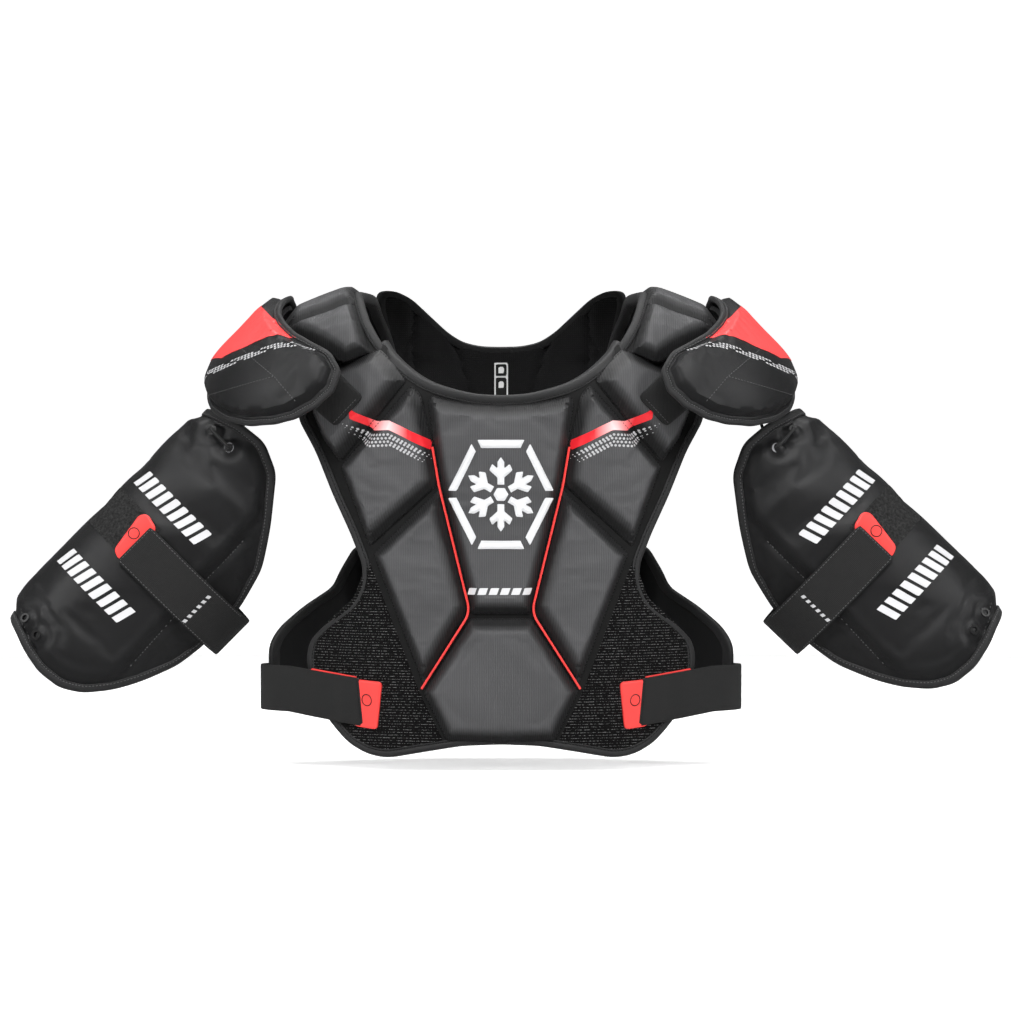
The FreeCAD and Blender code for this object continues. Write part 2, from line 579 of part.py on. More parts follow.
def build_side_straps():
    """The elastic straps from the back wings round the sides to the loop wings of the chest."""
    inner = size("chest_radius") - size("pad_thickness") + size("wing_thickness") + 2 * size("layer_gap")
    thickness = size("strap_thickness")
    bottom = size("side_strap_top") - size("strap_width")
    centre_y = size("chest_axis_y")
    middle_x = (SIDE_STRAP_END + SIDE_STRAP_LEAVES_CHEST) / 2
    rear_ends = []
    for side, sign in SIDES.items():
        front = [Vector(-x, centre_y - math.sqrt(inner ** 2 - x ** 2), bottom)
                 for x in (SIDE_STRAP_END, middle_x, SIDE_STRAP_LEAVES_CHEST)]
        leave = front[-1]
        run_x = (centre_y - leave.y) / inner
        run_y = SIDE_STRAP_LEAVES_CHEST / inner
        apex = Vector(-size("side_x") + thickness, size("side_y"), bottom)
        outwards = leave.x - apex.x
        backwards = apex.y - leave.y
        bend = (backwards * run_x - outwards * run_y) / (1 - run_y)
        middle = apex + Vector(bend, 0, 0)
        turn = math.acos(run_y)
        start = middle + Vector(-bend * math.cos(turn), -bend * math.sin(turn), 0)
        half = middle + Vector(-bend * math.cos(turn / 2), -bend * math.sin(turn / 2), 0)
        edges = [Part.Arc(*front).toShape(), Part.makeLine(leave, start)]
        edges.append(Part.Arc(start, half, apex).toShape())
        strap = add("Part::Feature", side + "SideStrap")
        strap.Shape = band(edges, thickness, sign)
        node(strap, side + "_side_strap")
        rear = [middle + Vector(-bend * math.cos(a), bend * math.sin(a), 0) for a in SEWN_END_ANGLES]
        rear_ends.append(band([Part.Arc(*rear).toShape()], thickness, sign))
        x = SIDE_STRAP_END + TAB_FROM_STRAP_END
        out = Vector(-sign * x, -math.sqrt(inner ** 2 - x ** 2), 0).normalize()
        height = size("side_strap_top") - size("strap_width") / 2
        place = Vector(0, centre_y, height) + out * (inner + thickness + 2 * size("layer_gap"))
        add_tab(side + "_side_strap_tab", sign, Placement(place, facing(out)))
    ends = add("Part::Feature", "SideStrapEnds")
    ends.Shape = Part.makeCompound(rear_ends)
    node(ends, "side_strap_sewn_ends")


def band(edges, thickness, sign):
    """A level path thickened outwards and raised to the width of the strap."""
    path = Part.Wire(edges)
    faces = [path.makeOffset2D(step, 0, True, True) for step in (thickness, -thickness)]
    face = max(faces, key=lambda f: f.BoundBox.DiagonalLength)
    solid = face.extrude(Vector(0, 0, size("strap_width")))
    if sign < 0:
        solid = solid.mirror(Vector(0, 0, 0), Vector(1, 0, 0))
    return solid


def build_cap_straps():
    """The short elastic strap that comes out from under each cap onto the collar pad."""
    lift = "-2 * Dims.layer_gap"
    layer = chest_layer("CapStrapLayer", lift, f"{lift} - Dims.strap_thickness")
    for side, sign in SIDES.items():
        shape = prism(side + "CapStrapPrism", outline(side + "CapStrapEdge", flipped(CAP_STRAP_EDGE, sign)))
        node(common(side + "CapStrap", shape, layer), side + "_cap_strap")


def check_and_write():
    """Every feature has to be sound, and every sub-part a valid closed solid, before any is written."""
    document.recompute()
    faults = [item.Name for item in document.Objects if {"Invalid", "Error"} & set(item.State)]
    faults += [item.Label for item in nodes if item.Shape.isNull() or not item.Shape.isValid()]
    faults += [item.Label for item in nodes if not item.Shape.Solids]
    if faults:
        raise RuntimeError("features that failed: " + ", ".join(faults))
    os.makedirs("parts", exist_ok=True)
    for item in nodes:
        item.Shape.exportStep(f"parts/{item.Label}.step")
        print(item.Label, len(item.Shape.Solids), round(item.Shape.Volume), item.Shape.BoundBox)
    print(len(nodes), "sub-parts")


fill_sheet()
build_chest()
build_chest_trim()
build_back()
build_yokes()
build_caps()
build_guards()
build_guard_straps()
build_side_straps()
build_cap_straps()
check_and_write()
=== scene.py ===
"""Ice hockey shoulder pads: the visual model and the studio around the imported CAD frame.

Shapes are worked out in millimetres on the same forms as the CAD model (two upright cylinders for
the chest and back, an arch for each yoke, a sphere for each cap, an elliptical tube for each upper
arm guard) and turned into metres when a mesh is made. Every soft piece is a closed padded shell
over a flat outline that is wrapped onto its form.
"""
import math

import bpy
import numpy as np
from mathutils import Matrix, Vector
from mathutils.geometry import delaunay_2d_cdt
from mathutils.kdtree import KDTree


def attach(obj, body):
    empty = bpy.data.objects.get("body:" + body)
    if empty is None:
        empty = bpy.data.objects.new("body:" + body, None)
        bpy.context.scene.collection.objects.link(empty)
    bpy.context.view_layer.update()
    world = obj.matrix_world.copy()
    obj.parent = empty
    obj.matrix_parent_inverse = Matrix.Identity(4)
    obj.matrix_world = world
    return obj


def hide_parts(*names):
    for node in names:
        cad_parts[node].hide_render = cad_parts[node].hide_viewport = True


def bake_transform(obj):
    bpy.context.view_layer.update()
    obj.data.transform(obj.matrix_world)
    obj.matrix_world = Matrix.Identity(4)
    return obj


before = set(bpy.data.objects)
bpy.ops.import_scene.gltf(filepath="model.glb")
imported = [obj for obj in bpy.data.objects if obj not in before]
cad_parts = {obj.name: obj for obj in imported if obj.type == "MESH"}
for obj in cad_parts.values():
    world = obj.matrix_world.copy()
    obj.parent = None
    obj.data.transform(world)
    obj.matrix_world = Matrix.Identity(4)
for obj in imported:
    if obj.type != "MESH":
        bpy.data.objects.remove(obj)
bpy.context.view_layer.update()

MM = 0.001
SIDES = {"left": 1, "right": -1}

# ------------------------------------------------------------------ driving sizes, millimetres
CHEST_AXIS_Y, CHEST_BASE, CHEST_FACE = 96.0, 215.0, 230.0
BACK_AXIS_Y, BACK_BASE, BACK_FACE = -142.0, 247.0, 262.0
YOKE_AXIS_Z, YOKE_RADIUS, YOKE_FLAT_END, YOKE_TAPER = -70.0, 92.0, 135.0, 0.39
CAP_CENTRE_X, CAP_CENTRE_Z, CAP_RADIUS, CAP_TILT = 150.0, -97.0, 119.0, math.radians(33)
GUARD_AXIS, GUARD_WIDE, GUARD_DEEP = 54.0, 80.0, 50.0
GUARD_TOP_Z = -108.0
GUARD_X = {"left": -251.0, "right": 256.0}
GUARD_ANGLE = {"left": math.radians(44.7), "right": math.radians(-46.2)}
BINDING = 6.5
SEAM_CLOTH_LIFT = 4.0


# ------------------------------------------------------------------ flat outlines
def turned(points, sign):
    """Points drawn for the left side, turned over for the right one."""
    return [(sign * u, v) for u, v in points]


def whole(points):
    """A closed outline from its left half, which starts and ends on the middle line."""
    return points + [(-u, v) for u, v in reversed(points[1:-1])]


def softened(points, radius, closed=True):
    """The outline with each corner rounded."""
    count = len(points)
    made = []
    for i in range(count):
        here = np.array(points[i], float)
        if not closed and i in (0, count - 1):
            made.append(here)
            continue
        before = np.array(points[i - 1], float) - here
        after = np.array(points[(i + 1) % count], float) - here
        lengths = np.linalg.norm(before), np.linalg.norm(after)
        cut = min(radius, 0.45 * lengths[0], 0.45 * lengths[1])
        start, end = here + before / lengths[0] * cut, here + after / lengths[1] * cut
        for t in np.linspace(0, 1, 5):
            made.append((1 - t) ** 2 * start + 2 * t * (1 - t) * here + t ** 2 * end)
    return np.array(made)


def resampled(points, step, closed=True):
    """Evenly spaced points along a path of straight runs."""
    path = np.array(points, float)
    if closed:
        path = np.vstack([path, path[:1]])
    lengths = np.linalg.norm(np.diff(path, axis=0), axis=1)
    keep = np.r_[True, lengths > 1e-9]
    path = path[keep]
    along = np.r_[0, np.cumsum(np.linalg.norm(np.diff(path, axis=0), axis=1))]
    count = max(4, int(round(along[-1] / step)))
    stations = np.linspace(0, along[-1], count + 1)
    if closed:
        stations = stations[:-1]
    return np.stack([np.interp(stations, along, path[:, k]) for k in range(path.shape[1])], axis=1)


def curved(points, closed=True, per_run=8):
    """A Catmull-Rom curve through the points."""
    given = np.array(points, float)
    count = len(given)
    made = []
    for i in range(count if closed else count - 1):
        if closed:
            p0, p1, p2, p3 = (given[(i + k) % count] for k in (-1, 0, 1, 2))
        else:
            p0, p1, p2, p3 = (given[min(max(i + k, 0), count - 1)] for k in (-1, 0, 1, 2))
        for t in np.linspace(0, 1, per_run, endpoint=False):
            made.append(0.5 * (2 * p1 + (p2 - p0) * t + (2 * p0 - 5 * p1 + 4 * p2 - p3) * t ** 2
                               + (3 * p1 - p0 - 3 * p2 + p3) * t ** 3))
    if not closed:
        made.append(given[-1])
    return np.array(made)


def path_distance(points, path, closed=True):
    """The distance from each point to the nearest run of a path."""
    points = np.asarray(points, float)
    start = np.asarray(path, float)
    end = np.roll(start, -1, axis=0)
    if not closed:
        start, end = start[:-1], end[:-1]
    run = end - start
    square = np.maximum((run ** 2).sum(axis=1), 1e-12)
    nearest = np.full(len(points), 1e9)
    for first in range(0, len(points), 1500):
        part = points[first:first + 1500]
        offset = part[:, None] - start
        t = np.clip((offset * run).sum(axis=2) / square, 0, 1)
        gap = np.linalg.norm(offset - t[..., None] * run, axis=2)
        nearest[first:first + 1500] = gap.min(axis=1)
    return nearest


def within(points, loop):
    """Whether each point lies inside a closed outline."""
    x, y = points[:, 0], points[:, 1]
    inside = np.zeros(len(points), bool)
    for (x1, y1), (x2, y2) in zip(loop, np.roll(loop, -1, axis=0)):
        if y1 == y2:
            continue
        crosses = (y1 > y) != (y2 > y)
        inside ^= crosses & (x < (x2 - x1) * (y - y1) / (y2 - y1) + x1)
    return inside


def inward(path, closed=True):
    """Unit directions across a path, to the left of its run; inwards on an anticlockwise outline."""
    if closed:
        run = np.roll(path, -1, axis=0) - np.roll(path, 1, axis=0)
    else:
        run = np.gradient(path, axis=0)
    run /= np.maximum(np.linalg.norm(run, axis=1, keepdims=True), 1e-9)
    return np.stack([-run[:, 1], run[:, 0]], axis=1)


def pairs(u, v):
    """Two rows of coordinates as a list of flat points."""
    return np.stack([np.asarray(u, float), np.asarray(v, float)], axis=1)


def ring_of(count, radius=1.0, centre=(0.0, 0.0)):
    """Points spaced evenly round a circle."""
    angles = [2 * math.pi * k / count for k in range(count)]
    return [(centre[0] + radius * math.cos(a), centre[1] + radius * math.sin(a)) for a in angles]


def anticlockwise(loop):
    """The outline, turned round if it runs clockwise."""
    loop = np.asarray(loop, float)
    nxt = np.roll(loop, -1, axis=0)
    area = (loop[:, 0] * nxt[:, 1] - nxt[:, 0] * loop[:, 1]).sum()
    return loop if area > 0 else loop[::-1]


# ------------------------------------------------------------------ forms: flat point and lift to space
def lean(v, start):
    """How far a panel leans towards the shoulder line above the given height."""
    return 0.008 * np.maximum(v - start, 0) ** 2


def chest_form(face=CHEST_FACE):
    """Wraps (x, z) on the chest; the outline is true to the front view at the given face radius."""
    def place(u, v, lift):
        angle = np.arcsin(np.clip(u / face, -0.999, 0.999))
        radius = CHEST_BASE + lift
        y = CHEST_AXIS_Y - radius * np.cos(angle) + lean(v, -80)
        return np.stack([radius * np.sin(angle), y, v + 0 * u], axis=1)
    return place


def back_form(face=BACK_FACE):
    """Wraps (x, z) on the back."""
    def place(u, v, lift):
        angle = np.arcsin(np.clip(u / face, -0.999, 0.999))
        radius = BACK_BASE + lift
        y = BACK_AXIS_Y + radius * np.cos(angle) - lean(v, -60)
        arch = np.sqrt(np.maximum(YOKE_RADIUS ** 2 - (v - YOKE_AXIS_Z) ** 2, 0)) + lift - 4
        corner = np.clip((np.abs(u) - 60) / 42, 0, 1) * np.clip((v + 52) / 12, 0, 1)
        y = y - corner * np.maximum(y - arch, 0)
        return np.stack([radius * np.sin(angle), y, v + 0 * u], axis=1)
    return place


def yoke_radius(u):
    """The radius of the arch over a shoulder, which tapers towards the arm."""
    return YOKE_RADIUS - YOKE_TAPER * np.maximum(np.abs(u) - YOKE_FLAT_END, 0)


def yoke_form(u, v, lift):
    """Wraps (x, way along the arch from the top towards the front) on the yoke."""
    radius = yoke_radius(u) - 16 + lift
    angle = v / YOKE_RADIUS
    return np.stack([u + 0 * v, -radius * np.sin(angle), YOKE_AXIS_Z + radius * np.cos(angle)], axis=1)


def cap_form(side):
    """Wraps a flat map, whose middle faces up and outwards, on the sphere of a cap."""
    sign = SIDES[side]
    out = np.array([-math.cos(CAP_TILT), 0, math.sin(CAP_TILT)])
    up = np.array([math.sin(CAP_TILT), 0, math.cos(CAP_TILT)])
    centre = np.array([-CAP_CENTRE_X, 0, CAP_CENTRE_Z])

    def place(u, v, lift):
        reach = np.maximum(np.hypot(u, v), 1e-9)
        angle = reach / CAP_RADIUS
        across = (u[:, None] * up + v[:, None] * np.array([0, 1.0, 0])) / reach[:, None]
        ray = np.cos(angle)[:, None] * out + np.sin(angle)[:, None] * across
        polar = np.degrees(np.arctan2(ray[:, 2], -ray[:, 0]))
        flatter = 1.0 + 8.0 * np.exp(-((polar - 43) / 17) ** 2) * (1 - ray[:, 1] ** 2)
        point = centre + (CAP_RADIUS + np.asarray(lift).reshape(-1, 1) - flatter[:, None]) * ray
        point[:, 0] *= sign
        return point
    return place


def on_cap_map(points):
    """Front-view points (x, z) of the left cap, laid out on its flat map, front half."""
    made = []
    for x, z in points:
        dx, dz = x + CAP_CENTRE_X, z - CAP_CENTRE_Z
        dy = -math.sqrt(max(CAP_RADIUS ** 2 - dx ** 2 - dz ** 2, 0))
        along = -dx * math.cos(CAP_TILT) + dz * math.sin(CAP_TILT)
        u = dx * math.sin(CAP_TILT) + dz * math.cos(CAP_TILT)
        angle = math.acos(max(-1, min(1, along / CAP_RADIUS)))
        reach = max(math.hypot(u, dy), 1e-9)
        made.append((u / reach * angle * CAP_RADIUS, dy / reach * angle * CAP_RADIUS))
    return made


GIRTH_ANGLES = np.linspace(0, 2 * math.pi, 721)
GIRTH_STEPS = np.hypot(GUARD_WIDE * np.sin(GIRTH_ANGLES), GUARD_DEEP * np.cos(GIRTH_ANGLES)) * GIRTH_ANGLES[1]
GIRTH = np.r_[0, np.cumsum((GIRTH_STEPS[1:] + GIRTH_STEPS[:-1]) / 2)]


def girth_at(x, behind=False):
    """How far round the guard a point above local x is, from the outer side towards the front."""
    angle = math.acos(max(-1, min(1, (GUARD_AXIS - x) / GUARD_WIDE)))
    reach = float(np.interp(angle, GIRTH_ANGLES, GIRTH))
    return -reach if behind else reach


def guard_form(side):
    """Wraps (way round, height) on the elliptical tube of an upper arm guard."""
    sign, angle = SIDES[side], GUARD_ANGLE[side]

    def place(u, v, lift):
        turn = np.interp(np.abs(u), GIRTH, GIRTH_ANGLES) * np.sign(u)
        x = GUARD_AXIS - (GUARD_WIDE + lift) * np.cos(turn)
        y = -(GUARD_DEEP + lift) * np.sin(turn)
        cup = 1 - 0.16 * np.clip((-v - 218) / 55, 0, 1) ** 2
        x = (GUARD_AXIS + (x - GUARD_AXIS) * cup) * sign
        y = y * cup
        world_x = GUARD_X[side] + math.cos(angle) * x + math.sin(angle) * v
        world_z = GUARD_TOP_Z - math.sin(angle) * x + math.cos(angle) * v
        return np.stack([world_x, y, world_z], axis=1)
    return place


def side_strap_form(side, inner):
    """Wraps (way along, height) on the level path of a side strap, from its end on the chest to the back."""
    sign = SIDES[side]
    chest = [(-x, CHEST_AXIS_Y - math.sqrt(inner ** 2 - x ** 2)) for x in (100, 110, 120, 130, 140, 150)]
    around = [(-165, -53.6), (-180, -39.9), (-195, -26.1), (-206, -14.5), (-213, -2), (-215.5, 11),
              (-212.5, 23), (-206, 32), (-197, 41), (-188, 48)]
    path = curved(chest + around, closed=False)
    along = np.r_[0, np.cumsum(np.linalg.norm(np.diff(path, axis=0), axis=1))]
    across = inward(path, closed=False)

    def place(u, v, lift):
        x, y = (np.interp(u, along, path[:, k]) for k in (0, 1))
        nx, ny = (np.interp(u, along, across[:, k]) for k in (0, 1))
        drop = 0.105 * np.maximum(115 - u, 0)
        return np.stack([sign * (x + nx * lift), y + ny * lift, v - drop], axis=1)
    return place, along[-1]


# ------------------------------------------------------------------ meshes
def mesh_piece(name, points, faces, look, sharp=40, flat=None):
    """A new object from points in millimetres; flat holds where each point lies on the uncut cloth."""
    mesh = bpy.data.meshes.new(name)
    mesh.from_pydata((np.asarray(points) * MM).tolist(), [], faces)
    if flat is not None:
        layer = mesh.uv_layers.new(name="cloth")
        corners = np.empty(len(mesh.loops), dtype=int)
        mesh.loops.foreach_get("vertex_index", corners)
        layer.data.foreach_set("uv", (np.asarray(flat)[corners] * 0.01).astype(np.float32).ravel())
    mesh.validate()
    mesh.shade_smooth()
    mesh.set_sharp_from_angle(angle=math.radians(sharp))
    mesh.materials.append(look)
    piece = bpy.data.objects.new(name, mesh)
    bpy.context.scene.collection.objects.link(piece)
    return piece


def flat_mesh(loop, spacing, rings):
    """Points and triangles that fill an outline, with rows of points that follow its edge."""
    loop = anticlockwise(resampled(loop, spacing))
    across = inward(loop)
    low, high = loop.min(axis=0), loop.max(axis=0)
    rows = np.arange(low[1], high[1], spacing * 0.866)
    grid = []
    for i, row in enumerate(rows):
        columns = np.arange(low[0] + (i % 2) * spacing / 2, high[0], spacing)
        grid.append(pairs(columns, np.full_like(columns, row)))
    grid = np.vstack(grid)
    grid = grid[within(grid, loop)]
    grid = grid[path_distance(grid, loop) > (rings[-1] if rings else 0) + 0.6 * spacing]
    parts = [loop]
    for ring in rings:
        row = loop + across * ring
        keep = within(row, loop) & (path_distance(row, loop) > 0.96 * ring)
        parts.append(row[keep])
    parts.append(grid)
    flat = np.vstack(parts)
    count = len(loop)
    edges = [(i, (i + 1) % count) for i in range(count)]
    made = delaunay_2d_cdt([Vector(p) for p in flat.tolist()], edges, [], 1, 1e-4)
    points = np.array([tuple(p) for p in made[0]])
    return points, [tuple(f) for f in made[2]], loop


def lifts_at(lift, flat):
    """The lift at each flat point, from a number or from a function of (u, v)."""
    return lift(flat[:, 0], flat[:, 1]) if callable(lift) else np.full(len(flat), float(lift))


def facing(points, faces, out):
    """The faces, turned over together if they look against the outward directions of their points."""
    a, b, c = (points[[f[k] for f in faces]] for k in range(3))
    agree = (np.cross(b - a, c - a) * out[[f[0] for f in faces]]).sum()
    return faces if agree >= 0 else [f[::-1] for f in faces]


def border(faces):
    """The edges that belong to one face only, in the direction that face runs."""
    seen = {}
    for face in faces:
        for a, b in zip(face, face[1:] + face[:1]):
            seen[(a, b)] = True
    return [(a, b) for a, b in seen if (b, a) not in seen]


def patch(name, loop, place, top, bottom, look, spacing, rings=(0.7, 1.8, 3.2), sharp=40, foot=0.0):
    """A closed padded shell over a flat outline.

    Top and bottom give the lift from (u, v, distance to the edge). A foot wider than 0 marks where
    the flat top of a block begins; the bevel below it is given painted shade in its colour.
    """
    flat, faces, edge = flat_mesh(loop, spacing, rings)
    u, v = flat[:, 0], flat[:, 1]
    depth = path_distance(flat, edge)
    upper = place(u, v, top(u, v, depth) + 0 * u)
    lower = place(u, v, bottom(u, v, depth) + 0 * u)
    faces = facing(upper, faces, upper - lower)
    count = len(flat)
    under = [tuple(i + count for i in reversed(f)) for f in faces]
    walls = [(b, a, a + count, b + count) for a, b in border(faces)]
    points = np.vstack([upper, lower])
    piece = mesh_piece(name, points, faces + under + walls, look, sharp, np.vstack([flat, flat]))
    if foot:
        # painted shade: 0 on the bevel near the edge, rising to 1 on the flat top; the ribbed cloth darkens
        # its colour where this is low
        painted_shade_level = np.clip((depth - 0.6 * foot) / (0.55 * foot), 0, 1)
        layer = piece.data.attributes.new("painted_bevel_shade", "FLOAT", "POINT")
        layer.data.foreach_set("value", np.r_[painted_shade_level, 0 * painted_shade_level].astype(np.float32))
    return piece


CLOTH_FRAMES = 20
CLOTH_PRESSURE = 4.0
CLOTH_SLACK = 0.02


def cloth_relief(loop, place, top, spacing=4.0, hold=3.0, limit=1.2, pins=()):
    """Blows up the top sheet of a pad as cloth that is sewn down along its edge and near each pin.

    Gives the extra lift at any flat point, never more than the limit. Each pin is (u, v, reach).
    """
    flat, faces, edge = flat_mesh(loop, spacing, (2.0,))
    u, v = flat[:, 0], flat[:, 1]
    depth = path_distance(flat, edge)
    height = top(u, v, depth) + 0 * u
    start = place(u, v, height)
    out = place(u, v, height + 1) - start
    faces = facing(start, faces, out)
    mesh = bpy.data.meshes.new("cloth_sheet")
    mesh.from_pydata((start * MM).tolist(), [], faces)
    sheet = bpy.data.objects.new("cloth_sheet", mesh)
    bpy.context.scene.collection.objects.link(sheet)
    sewn = sheet.vertex_groups.new(name="sewn")
    held = depth < hold
    for x, y, reach in pins:
        held |= np.hypot(u - x, v - y) < reach
    sewn.add([int(k) for k in np.nonzero(held)[0]], 1.0, "REPLACE")
    cloth = sheet.modifiers.new("cloth", "CLOTH")
    cloth.settings.quality = 5
    cloth.settings.mass = 0.2
    cloth.settings.tension_stiffness = 15
    cloth.settings.compression_stiffness = 15
    cloth.settings.shear_stiffness = 5
    cloth.settings.bending_stiffness = 0.3
    cloth.settings.use_pressure = True
    cloth.settings.uniform_pressure_force = CLOTH_PRESSURE
    cloth.settings.shrink_min = -CLOTH_SLACK
    cloth.settings.vertex_group_mass = "sewn"
    cloth.settings.effector_weights.gravity = 0
    cloth.point_cache.frame_start = 1
    cloth.point_cache.frame_end = CLOTH_FRAMES
    for frame_number in range(1, CLOTH_FRAMES + 1):
        bpy.context.scene.frame_set(frame_number)
    settled = sheet.evaluated_get(bpy.context.evaluated_depsgraph_get())
    found = np.empty(3 * len(flat), np.float32)
    settled.data.vertices.foreach_get("co", found)
    moved = ((found.reshape(-1, 3) / MM - start) * out).sum(axis=1) / (out * out).sum(axis=1)
    moved = limit * np.tanh(moved / limit)
    bpy.data.objects.remove(sheet)
    bpy.data.meshes.remove(mesh)
    bpy.context.scene.frame_set(1)
    tree = KDTree(len(flat))
    for index, (x, y) in enumerate(flat):
        tree.insert((x, y, 0), index)
    tree.balance()

    def extra(u, v):
        made = np.zeros(len(u))
        for k, (x, y) in enumerate(zip(u, v)):
            close = tree.find_n((x, y, 0), 4)
            weights = [1 / (0.3 + distance) ** 2 for spot, index, distance in close]
            made[k] = sum(w * moved[near[1]] for w, near in zip(weights, close)) / sum(weights)
        return made
    return extra


def level(value):
    """The same lift everywhere."""
    return lambda u, v, depth: value + 0 * depth


def pillow(edge, height, width, crown=0.0):
    """A lift that rises from the edge in a bevel with a soft shoulder to a nearly flat top."""
    def lift(u, v, depth):
        ramp = depth / width
        soft = -np.log(np.exp(-9 * ramp) + np.exp(-9.0)) / 9
        soft = np.clip(soft, 0, 1)
        return edge + (height - edge) * soft + crown * (1 - np.exp(-depth / 25))
    return lift


def band(name, path, place, section, look, closed=True, sharp=50):
    """A tape that follows a path on a form; the section lists (across, lift) round its outline."""
    across = inward(path, closed)
    count, ring = len(path), len(section)
    points = []
    for offset, lift in section:
        shifted = path + across * offset
        points.append(place(shifted[:, 0], shifted[:, 1], lifts_at(lift, shifted)))
    points = np.stack(points, axis=1).reshape(-1, 3)
    faces = []
    for i in range(count if closed else count - 1):
        j = (i + 1) % count
        for k in range(ring):
            m = (k + 1) % ring
            faces.append((i * ring + k, i * ring + m, j * ring + m, j * ring + k))
    if not closed:
        faces.append(tuple(reversed(range(ring))))
        faces.append(tuple((count - 1) * ring + k for k in range(ring)))
    along = np.r_[0, np.cumsum(np.linalg.norm(np.diff(path, axis=0), axis=1))]
    flat = pairs(np.repeat(along, ring), np.tile([offset for offset, lift in section], count))
    piece = mesh_piece(name, points, faces, look, sharp, flat)
    make_outward(piece)
    return piece


def make_outward(piece):
    """Turns the faces of a closed mesh so that they face out."""
    mesh = piece.data
    points = np.empty(len(mesh.vertices) * 3)
    mesh.vertices.foreach_get("co", points)
    points = points.reshape(-1, 3)
    mesh.calc_loop_triangles()
    corners = np.empty(len(mesh.loop_triangles) * 3, dtype=int)
    mesh.loop_triangles.foreach_get("vertices", corners)
    a, b, c = (points[corners.reshape(-1, 3)[:, k]] for k in range(3))
    if (np.cross(a, b) * c).sum() < 0:
        mesh.flip_normals()


STITCH_SHAPE = [(-0.5, 0.25), (-0.3, 0.85), (0, 1.0), (0.3, 0.85), (0.5, 0.25)]
STITCH_SIDES = 6


def add_stitch(points, faces, start, end, up, radius):
    """Adds one stitch, a short bar with tapered ends, to lists of points and faces."""
    run = end - start
    side = np.cross(run / np.linalg.norm(run), up)
    base = len(points)
    for along, scale in STITCH_SHAPE:
        for x, y in ring_of(STITCH_SIDES):
            points.append((start + end) / 2 + run * along + radius * scale * (side * x + up * y))
    for i in range(len(STITCH_SHAPE) - 1):
        low = base + i * STITCH_SIDES
        high = low + STITCH_SIDES
        for k in range(STITCH_SIDES):
            m = (k + 1) % STITCH_SIDES
            faces.append((low + k, low + m, high + m, high + k))
    faces.append(tuple(base + k for k in reversed(range(STITCH_SIDES))))
    faces.append(tuple(high + k for k in range(STITCH_SIDES)))


def stitches(name, paths, place, lift, look, pitch, length, radius):
    """A row of short raised stitches along each (path, closed or not)."""
    points, faces = [], []
    for path, closed in paths:
        path = resampled(path, pitch, closed)
        following = np.roll(path, -1, axis=0)
        if not closed:
            path, following = path[:-1], following[:-1]
        step = (following - path) * (length / pitch)
        middle = (path + following) / 2
        lifts = lifts_at(lift, middle)
        start = place(middle[:, 0] - step[:, 0] / 2, middle[:, 1] - step[:, 1] / 2, lifts)
        end = place(middle[:, 0] + step[:, 0] / 2, middle[:, 1] + step[:, 1] / 2, lifts)
        above = place(middle[:, 0], middle[:, 1], lifts + 1) - place(middle[:, 0], middle[:, 1], lifts)
        for p, q, up in zip(start, end, above):
            if np.linalg.norm(q - p) > 1e-6:
                add_stitch(points, faces, p, q, up, radius)
    piece = mesh_piece(name, points, faces, look, 70)
    make_outward(piece)
    return piece


def finish_piece(piece, body, replaces=()):
    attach(piece, body)
    if replaces:
        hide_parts(*replaces)
    return piece


def prints(name, shapes, place, lift, look, thickness, spacing):
    """Thin raised print: each flat shape becomes a closed film on the surface at the given lift."""
    points, faces = [], []
    for shape in shapes:
        flat, inside = flat_mesh(shape, spacing, ())[:2]
        lifts = lifts_at(lift, flat)
        upper = place(flat[:, 0], flat[:, 1], lifts + thickness)
        lower = place(flat[:, 0], flat[:, 1], lifts - 0.4)
        inside = facing(upper, inside, upper - lower)
        base, count = len(points), len(flat)
        points.extend(upper.tolist() + lower.tolist())
        faces += [tuple(base + i for i in f) for f in inside]
        faces += [tuple(base + count + i for i in reversed(f)) for f in inside]
        faces += [(base + b, base + a, base + a + count, base + b + count) for a, b in border(inside)]
    return mesh_piece(name, points, faces, look, 30)


def dots(name, spots, place, lift, look):
    """A field of small round printed dots, each (u, v, radius)."""
    points, faces = [], []
    for u, v, radius in spots:
        flat = np.array([(u, v)] + ring_of(8, radius, (u, v)))
        lifts = lifts_at(lift, flat)
        upper = place(flat[:, 0], flat[:, 1], lifts + 0.3)
        lower = place(flat[:, 0], flat[:, 1], lifts - 0.3)[1:]
        base = len(points)
        points.extend(upper.tolist() + lower.tolist())
        for k in range(8):
            m = (k + 1) % 8
            faces.append((base, base + 1 + k, base + 1 + m))
            faces.append((base + 1 + m, base + 1 + k, base + 9 + k, base + 9 + m))
        faces.append(tuple(base + 9 + k for k in reversed(range(8))))
    piece = mesh_piece(name, points, faces, look, 30)
    make_outward(piece)
    return piece


